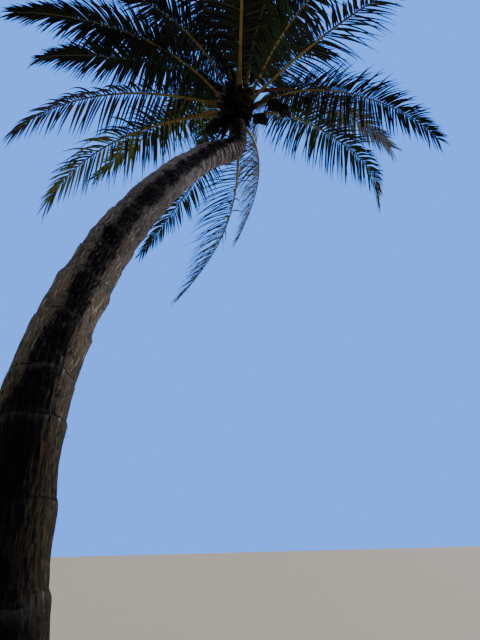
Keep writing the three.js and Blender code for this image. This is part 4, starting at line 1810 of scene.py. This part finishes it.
@dataclass(frozen=True)
class CrownHeart:
    """The heart: its core, the torn sheaths between leaf bases and loose fibre."""

    node: str = "crown_heart"
    seed: int = 23

    # The core, which lies a little inside the frame's heart.
    sides: int = 96
    steps: int = 64
    inset: float = 0.012
    grain: Waves = Waves((14, 36), (0.08, 0.5), 30)
    bulge: Waves = Waves((2, 6), (0.15, 0.5), 10)
    grain_depth: float = 0.004
    bulge_depth: float = 0.005

    # The sheaths that hug it: how far each strays round it, and the ranges of their heights,
    # outward lean, reach, width and hang.
    sheaths: int = 46
    sheath_sunk: float = 0.006
    sheath_stray: float = 15.0
    sheath_heights: Span = (0.02, 0.70)
    sheath_lean: Span = (0.25, 0.6)
    sheath_reach: Span = (0.12, 0.26)
    sheath_width: Span = (0.06, 0.12)
    sheath_hang: Span = (1.0, 6.0)
    sheath_shape: BladeShape = BladeShape(8, 0.35, 0.003, 0.9, 0.4, 0.12, 0.15, 0.3)

    # The sheaths that hang from its foot, dark ones in painted shade under a few pale ones: the ranges
    # of their heights, outward lean, fall and hang, and of their reach and width as shares of the usual.
    skirts: tuple[Sheaths, ...] = (
        Sheaths("dark_sheaths_left", SHADED_MATTING, (174.0, 240.0), 26, 0.46, 0.090),
        Sheaths("dark_sheaths_right", SHADED_MATTING, (318.0, 368.0), 9, 0.17, 0.070),
        Sheaths("pale_sheaths", SHEATH, (190.0, 236.0), 6, 0.30, 0.040),
    )
    skirt_heights: Span = (0.03, 0.12)
    skirt_lean: Span = (0.25, 0.9)
    skirt_fall: Span = (0.6, 1.0)
    skirt_hang: Span = (0.5, 2.5)
    skirt_reach: Span = (0.6, 1.2)
    skirt_width: Span = (0.6, 1.3)
    skirt_shape: BladeShape = BladeShape(8, 0.4, 0.003, 0.8, 0.35, 0.15, 0.20, 0.3)

    # The loose threads, and the ranges of their heights, lift, reach, width and hang.
    strands: int = 420
    strand_sunk: float = 0.008
    strand_heights: Span = (0.0, 0.60)
    strand_lift: Span = (-0.9, 0.5)
    strand_reach: Span = (0.06, 0.24)
    strand_width: Span = (0.003, 0.008)
    strand_hang: Span = (2.0, 9.0)
    strand_shape: BladeShape = BladeShape(segments=5, fold=0.4, thickness=0.0012, root_share=0.9, spread=0.35)

    def core(self) -> None:
        """Build the bulb that the leaf bases clasp."""
        draw = np.random.default_rng(self.seed)
        theta, up = np.meshgrid(turns(self.sides), np.linspace(0, HEART_HEIGHT, self.steps))
        grain = self.grain_depth * self.grain.relief(theta, up, draw)
        bulge = self.bulge_depth * self.bulge.relief(theta, up, draw)
        radius = heart_radius(up) - self.inset + grain + bulge
        shell = Shell()
        shell.tube(HEART_FOOT + CROWN_AXIS * up[..., None] + around(CROWN_AXIS, theta) * radius[..., None])
        declare(shell.piece("heart_core", SHADED_HEARTWOOD), "fibre", [self.node])

    def site(self, heading: np.ndarray | float, height: np.ndarray | float, sunk: float) -> np.ndarray:
        """A place, or a row of places, so far under the heart's skin."""
        out = compass(heading) * (heart_radius(height) - sunk)[..., None]
        return HEART_FOOT + CROWN_AXIS * np.asarray(height)[..., None] + out

    def matting(self) -> None:
        """Build the broad torn sheaths that hug the heart between the leaf bases."""
        draw = np.random.default_rng(self.seed + 1)
        bed = Bed()
        for i in range(self.sheaths):
            heading = NEXT_LEAF * i + draw.uniform(-self.sheath_stray, self.sheath_stray)
            height = lerp(*self.sheath_heights, i / self.sheaths)
            out = compass(heading)
            aim = out * draw.uniform(*self.sheath_lean) + UP
            bed.sow(
                self.site(heading, height, self.sheath_sunk), aim, -out,
                reach=draw.uniform(*self.sheath_reach), width=draw.uniform(*self.sheath_width),
                hang=draw.uniform(*self.sheath_hang),
            )
        inputs = self.sheath_shape.inputs(SHADED_MATTING, self.seed)
        declare(BLADES.grow("torn_sheaths", bed, inputs), "fibre", [self.node])

    def fibres(self) -> None:
        """Build the loose threads that hang from the leaf bases and the neck."""
        draw = np.random.default_rng(self.seed + 2)
        heading = draw.uniform(0, 360, self.strands)
        height = draw.uniform(*self.strand_heights, self.strands)
        aim = compass(heading) + UP * draw.uniform(*self.strand_lift, self.strands)[:, None]
        bed = Bed()
        bed.sow(
            self.site(heading, height, self.strand_sunk), aim, UP,
            reach=draw.uniform(*self.strand_reach, self.strands),
            width=draw.uniform(*self.strand_width, self.strands),
            hang=draw.uniform(*self.strand_hang, self.strands),
        )
        inputs = self.strand_shape.inputs(FIBRE, self.seed)
        declare(BLADES.grow("loose_fibre", bed, inputs), "fibre", [self.node])

    def skirt(self) -> None:
        """Build the old sheaths that hang from the heart's foot."""
        draw = np.random.default_rng(self.seed + 3)
        for name, finish, headings, count, reach, width in self.skirts:
            bed = Bed()
            for i in range(count):
                heading = lerp(*headings, i / (count - 1))
                lean, fall = draw.uniform(*self.skirt_lean), draw.uniform(*self.skirt_fall)
                root = self.site(heading, draw.uniform(*self.skirt_heights), self.sheath_sunk)
                bed.sow(
                    root, compass(heading) * lean - UP * fall, UP, hang=draw.uniform(*self.skirt_hang),
                    reach=reach * draw.uniform(*self.skirt_reach),
                    width=width * draw.uniform(*self.skirt_width),
                )
            inputs = self.skirt_shape.inputs(finish, self.seed)
            declare(BLADES.grow(name, bed, inputs), "fibre", [self.node])

    def build(self) -> None:
        """Build the core and what clings to it."""
        self.core()
        self.matting()
        self.skirt()
        self.fibres()


@dataclass(frozen=True)
class Bunch:
    """One bunch of nuts on its arched stalk, with its pod where it has one."""

    side: str
    heading: float
    rise: float
    droop: float
    seat: float
    length: float
    nuts: int
    pod: bool = False

    # The stalk: its radius, how that tapers, and where the nuts start on it.
    stalk_radius: float = 0.017
    stalk_taper: Span = (1.3, 0.6)
    sides: int = 12
    steps: int = 22
    nuts_from: float = 0.45

    # The nuts: how strongly they hang down and along the stalk, how many half lengths the middle
    # of one lies below the stalk, and how many its cap lies above its middle.
    nut_radius: float = 0.062
    nut_length: float = 1.22
    nut_ridge: float = 0.045
    hang_down: float = 0.9
    hang_along: float = 0.3
    hung_by: float = 0.8
    cap_at: float = 0.94

    # The twigs.
    twig_radius: float = 0.008
    twig_bow: float = 0.012
    twig_sunk: float = 0.006
    twig_steps: int = 6
    twig_sides: int = 8

    # The caps: rings of small leaves that lean over the nut.
    cap_leaves: int = 6
    cap_reach: float = 0.040
    cap_width: float = 0.036
    cap_lean: float = 0.35
    cap_lift: float = 0.002
    cap_shape: BladeShape = BladeShape(4, 0.1, 0.002, 0.8, 0.35, 0.35, 0.05, 0.15)

    # The pod: where on the stalk it hangs, how far out it leans, its size, its bow and grooves,
    # and its thickness at shares of its length.
    pod_at: float = 0.7
    pod_lean: float = 0.45
    pod_length: float = 0.42
    pod_width: float = 0.070
    pod_flatness: float = 0.8
    pod_bow: float = 0.02
    pod_grooves: int = 10
    groove_depth: float = 0.06
    pod_sides: int = 30
    pod_steps: int = 40
    pod_profile: tuple[Span, ...] = ((0.0, 0.25), (0.1, 0.5), (0.35, 1.0), (0.75, 0.55), (1.0, 0.03))

    seed: int = 61

    def path(self, share: np.ndarray) -> Line:
        """The stalk's line, by the fronds' rule."""
        return bare_line(self.heading, self.rise, self.droop, self.length, self.seat).line(share)

    def build(self) -> None:
        """Build the stalk with its twigs, the nuts, their caps and the pod."""
        node = [f"fruit_bunch_{self.side}"]
        share = np.linspace(0, 1, self.steps)
        shell, nuts, caps = Shell(), Bed(), Bed()
        shell.pipe(self.path(share).place, self.stalk_radius * lerp(*self.stalk_taper, share), self.sides)
        spots = self.path(np.linspace(self.nuts_from, 1.0, self.nuts))
        for i in range(self.nuts):
            self.hang(shell, nuts, caps, spots.place[i], spots.run[i], i)
        declare(shell.piece(f"fruit_stalk_{self.side}", FRUIT_STALK), "bract", node)
        inputs = {"Stretch": self.nut_length, "Ridge": self.nut_ridge, "Seed": self.seed}
        husks = NUTS.grow(f"nuts_{self.side}", nuts, {**inputs, "Finish": SHADED_HUSK.material()})
        declare(husks, "fruit", node)
        inputs = self.cap_shape.inputs(CALYX, self.seed)
        declare(BLADES.grow(f"nut_caps_{self.side}", caps, inputs), "fibre", node)
        if self.pod:
            declare(self.pod_shell().piece(f"pod_{self.side}", POD_SKIN), "bract", node)

    def hang(
        self, shell: Shell, nuts: Bed, caps: Bed, place: np.ndarray, run: np.ndarray, number: int,
    ) -> None:
        """Hang one nut on its twig, under its cap.

        Args:
            shell: The stalk's shell, which takes the twig.
            nuts: The bed of nuts.
            caps: The bed of caps.
            place: Where on the stalk the twig leaves.
            run: The direction that the stalk runs in there.
            number: The nut's number.
        """
        out = compass(number * NEXT_LEAF + self.heading)
        down = unit(-self.hang_down * UP + out + run * self.hang_along)
        half = self.nut_radius * self.nut_length
        centre = place + down * half * self.hung_by
        nuts.sow(centre, -down, np.cross(down, UP), reach=self.nut_radius, width=0.0, hang=0.0)
        top = centre - down * half * self.cap_at
        t = np.linspace(0, 1, self.twig_steps)[:, None]
        bow = np.cross(run, down) * self.twig_bow * np.sin(math.pi * t)
        twig = place * (1 - t) + top * t + bow + down * self.twig_sunk * t
        shell.pipe(twig, np.full(self.twig_steps, self.twig_radius), self.twig_sides)
        aim = around(down, turns(self.cap_leaves)) + down * self.cap_lean
        foot = top - down * self.cap_lift
        caps.sow(foot, aim, -down, reach=self.cap_reach, width=self.cap_width, hang=0.0)

    def pod_shell(self) -> Shell:
        """The pointed, grooved pod that the bunch came out of.

        Returns:
            Its shell.
        """
        run = unit(-UP + compass(self.heading) * self.pod_lean)
        share = np.linspace(0, 1, self.pod_steps)
        bow = np.sin(math.pi * share)[:, None] * compass(self.heading) * self.pod_bow
        points = self.path(np.array([self.pod_at])).place + run * (share * self.pod_length)[:, None] + bow
        turn = turns(self.pod_sides)
        groove = 1 + self.groove_depth * np.cos(self.pod_grooves * turn)
        half = (np.interp(share, *np.array(self.pod_profile).T) * self.pod_width / 2)[:, None] * groove
        shell = Shell()
        shell.tube(points[:, None] + around(run, turn, half, half * self.pod_flatness))
        return shell


# Each bunch's side, heading, rise, droop, seat, length and number of nuts.
BUNCHES = (
    Bunch("right", 350, 22, 112, 0.330, 0.640, 8, pod=True),
    Bunch("left", 198, -6, 80, 0.030, 0.430, 7),
    Bunch("back", 10, 26, 70, 0.190, 0.260, 5),
)


@dataclass(frozen=True)
class DryBract:
    """The dry, boat-shaped sheath that stands out from the heart."""

    heading: float = 2.0
    rise: float = 14.0
    droop: float = 24.0
    seat: float = 0.700
    length: float = 0.860

    # Its width follows half a wave, of which it takes this part.
    width: float = 0.078
    wave: Span = (0.2, 0.985)

    # Its thickness and how that fades, and how far its edges curl and its faces are fluted.
    thickness: float = 0.005
    thinning: float = 0.6
    curl: float = 0.55
    flutes: int = 9
    flute_depth: float = 0.0015
    steps: int = 36
    sides: int = 18

    def build(self) -> None:
        """Build the bract as a thin, curled, pointed blade."""
        share = np.linspace(0, 1, self.steps)
        turn = turns(self.sides)
        half = (self.width / 2 * np.sin(math.pi * lerp(*self.wave, share)))[:, None]
        wide = half * np.cos(turn)
        thick = -self.thickness * np.sin(turn) * (1 - self.thinning * share[:, None])
        tall = thick - self.curl * wide * wide / half + self.flute_depth * np.cos(turn * self.flutes)
        path = bare_line(self.heading, self.rise, self.droop, self.length, self.seat)
        shell = Shell()
        shell.tube(path.line(share).rings(wide, tall))
        declare(shell.piece("bract_blade", BRACT_SKIN), "bract", ["dry_bract"])


@dataclass(frozen=True)
class SpearLeaf:
    """The youngest leaf, still folded: a pleated spear on top of the heart."""

    node: str = "spear_leaf"
    length: float = 2.300
    radius: float = 0.040
    pleats: int = 9
    pleat_depth: float = 0.16
    sides: int = 72
    steps: int = 90
    twist: float = 0.9

    # The spear's thickness at shares of its length.
    profile: tuple[Span, ...] = (
        (0.00, 0.70),
        (0.04, 0.85),
        (0.12, 1.00),
        (0.50, 0.80),
        (0.85, 0.35),
        (1.00, 0.03),
    )

    # The leaflets that part from it: where, how long at the lowest and the highest, how wide,
    # how far out on its radius they start and how far they lean away.
    leaflets: int = 14
    leaflet_shares: Span = (0.45, 0.86)
    leaflet_reach: Span = (0.60, 0.26)
    leaflet_width: float = 0.03
    leaflet_seat: float = 0.3
    leaflet_lean: float = 0.09
    leaflet_shape: BladeShape = BladeShape(spread=0.03)
    seed: int = 5

    def build(self) -> None:
        """Build the pleated spear and the leaflet tips that part from it."""
        foot = HEART_FOOT + CROWN_AXIS * (HEART_HEIGHT + TIP_GAP)
        theta, share = np.meshgrid(turns(self.sides), np.linspace(0, 1, self.steps))
        fold = np.abs(np.sin(self.pleats * theta / 2 + self.twist * share * math.pi))
        girth = np.interp(share, *np.array(self.profile).T) * self.radius * (1 - self.pleat_depth * fold)
        middle = foot + CROWN_AXIS * self.length * share[..., None]
        shell = Shell()
        shell.tube(middle + around(CROWN_AXIS, theta, girth, girth))
        declare(shell.piece("spear_blade", SPEAR_SKIN), "leaf", [self.node])
        self.parting(foot)

    def parting(self, foot: np.ndarray) -> None:
        """Let a few narrow leaflets part from the spear near its tip.

        Args:
            foot: The spear's foot.
        """
        step = np.linspace(0, 1, self.leaflets)
        out = compass(NEXT_LEAF * np.arange(self.leaflets))
        up = CROWN_AXIS * (lerp(*self.leaflet_shares, step) * self.length)[:, None]
        bed = Bed()
        bed.sow(
            foot + up + out * self.radius * self.leaflet_seat, CROWN_AXIS + out * self.leaflet_lean, out,
            reach=lerp(*self.leaflet_reach, step), width=self.leaflet_width, hang=0.0,
        )
        inputs = self.leaflet_shape.inputs(SPEAR_LEAFLET, self.seed)
        declare(BLADES.grow("spear_leaflets", bed, inputs), "leaf", [self.node])


class Sun(NamedTuple):
    """A soft light far off: its name, where it stands, its power and how wide it looks."""

    name: str
    away: tuple[float, float, float]
    power: float
    spread: float


@dataclass(frozen=True)
class Studio:
    """The pale floor, the soft light and the camera."""

    eye: tuple[float, float, float] = (0.95, -2.65, 1.55)
    pitch: float = 24.4
    roll: float = 1.48
    lens: float = 27.0
    sensor: float = 36.0
    floor_half: float = 60.0
    floor_drop: float = 0.001
    ground: Colour = (0.50, 0.43, 0.36)

    # The sky as it is seen, and the fainter light that it casts.
    sky: Colour = (0.11, 0.37, 1.30)
    sky_strength: float = 1.35
    glow: Colour = (0.62, 0.74, 0.92)
    glow_strength: float = 0.24
    suns: tuple[Sun, ...] = (
        Sun("key", (8.0, 7.0, 9.0), 3.0, 18.0),
        Sun("side", (9.0, -5.0, 4.0), 0.35, 40.0),
        Sun("rim", (-9.0, 0.0, 4.0), 0.80, 40.0),
    )

    def floor(self) -> None:
        """Lay the floor just under the cut."""
        half, depth = self.floor_half, -self.floor_drop
        mesh = bpy.data.meshes.new("floor")
        corners = [(-half, -half, depth), (half, -half, depth), (half, half, depth), (-half, half, depth)]
        mesh.from_pydata(corners, [], [(0, 1, 2, 3)])
        mesh.materials.append(PlainSkin("pale floor", self.ground).material())
        place_object("floor", mesh)

    def lamps(self) -> None:
        """Hang the suns."""
        for sun in self.suns:
            data = bpy.data.lights.new(sun.name, "SUN")
            data.energy = sun.power
            data.angle = math.radians(sun.spread)
            turned = Vector(sun.away).to_track_quat("Z", "Y").to_matrix()
            place_object(sun.name, data).matrix_world = turned.to_4x4()

    def sky_light(self) -> None:
        """Set the sky, more strongly blue to look at than the light it casts."""
        world = bpy.data.worlds.new("sky")
        world.use_nodes = True
        board = Board(world.node_tree)
        seen = board.node("ShaderNodeLightPath").out("Is Camera Ray")
        strength = self.glow_strength + seen * (self.sky_strength - self.glow_strength)
        inputs = {"Color": board.mix(seen, self.glow, self.sky), "Strength": strength}
        shine = board.node("ShaderNodeBackground", None, inputs)
        board.node("ShaderNodeOutputWorld", None, {"Surface": shine})
        bpy.context.scene.world = world

    def camera(self) -> None:
        """Stand the camera where the tree was seen from."""
        pitch, roll = math.radians(self.pitch), math.radians(self.roll)
        right = Vector((1, 0, 0))
        upward = Vector((0, -math.sin(pitch), math.cos(pitch)))
        back = Vector((0, -math.cos(pitch), -math.sin(pitch)))
        x_axis = right * math.cos(roll) - upward * math.sin(roll)
        y_axis = right * math.sin(roll) + upward * math.cos(roll)
        data = bpy.data.cameras.new("camera")
        data.lens = self.lens
        data.sensor_width = self.sensor
        camera = place_object("camera", data)
        turned = Matrix((x_axis, y_axis, back)).transposed().to_4x4()
        camera.matrix_world = Matrix.Translation(self.eye) @ turned
        bpy.context.scene.camera = camera

    def build(self) -> None:
        """Set up the camera, the floor and the lights."""
        self.camera()
        self.floor()
        self.lamps()
        self.sky_light()


def main() -> None:
    """Dress the palm in order and write how large it came out."""
    logging.basicConfig(level=logging.INFO, format="%(name)s %(message)s")
    parts = (Studio(), Trunk(), CrownHeart(), Crown(), *BUNCHES, DryBract(), SpearLeaf())
    for part in parts:
        part.build()


if __name__ == "__main__":
    main()
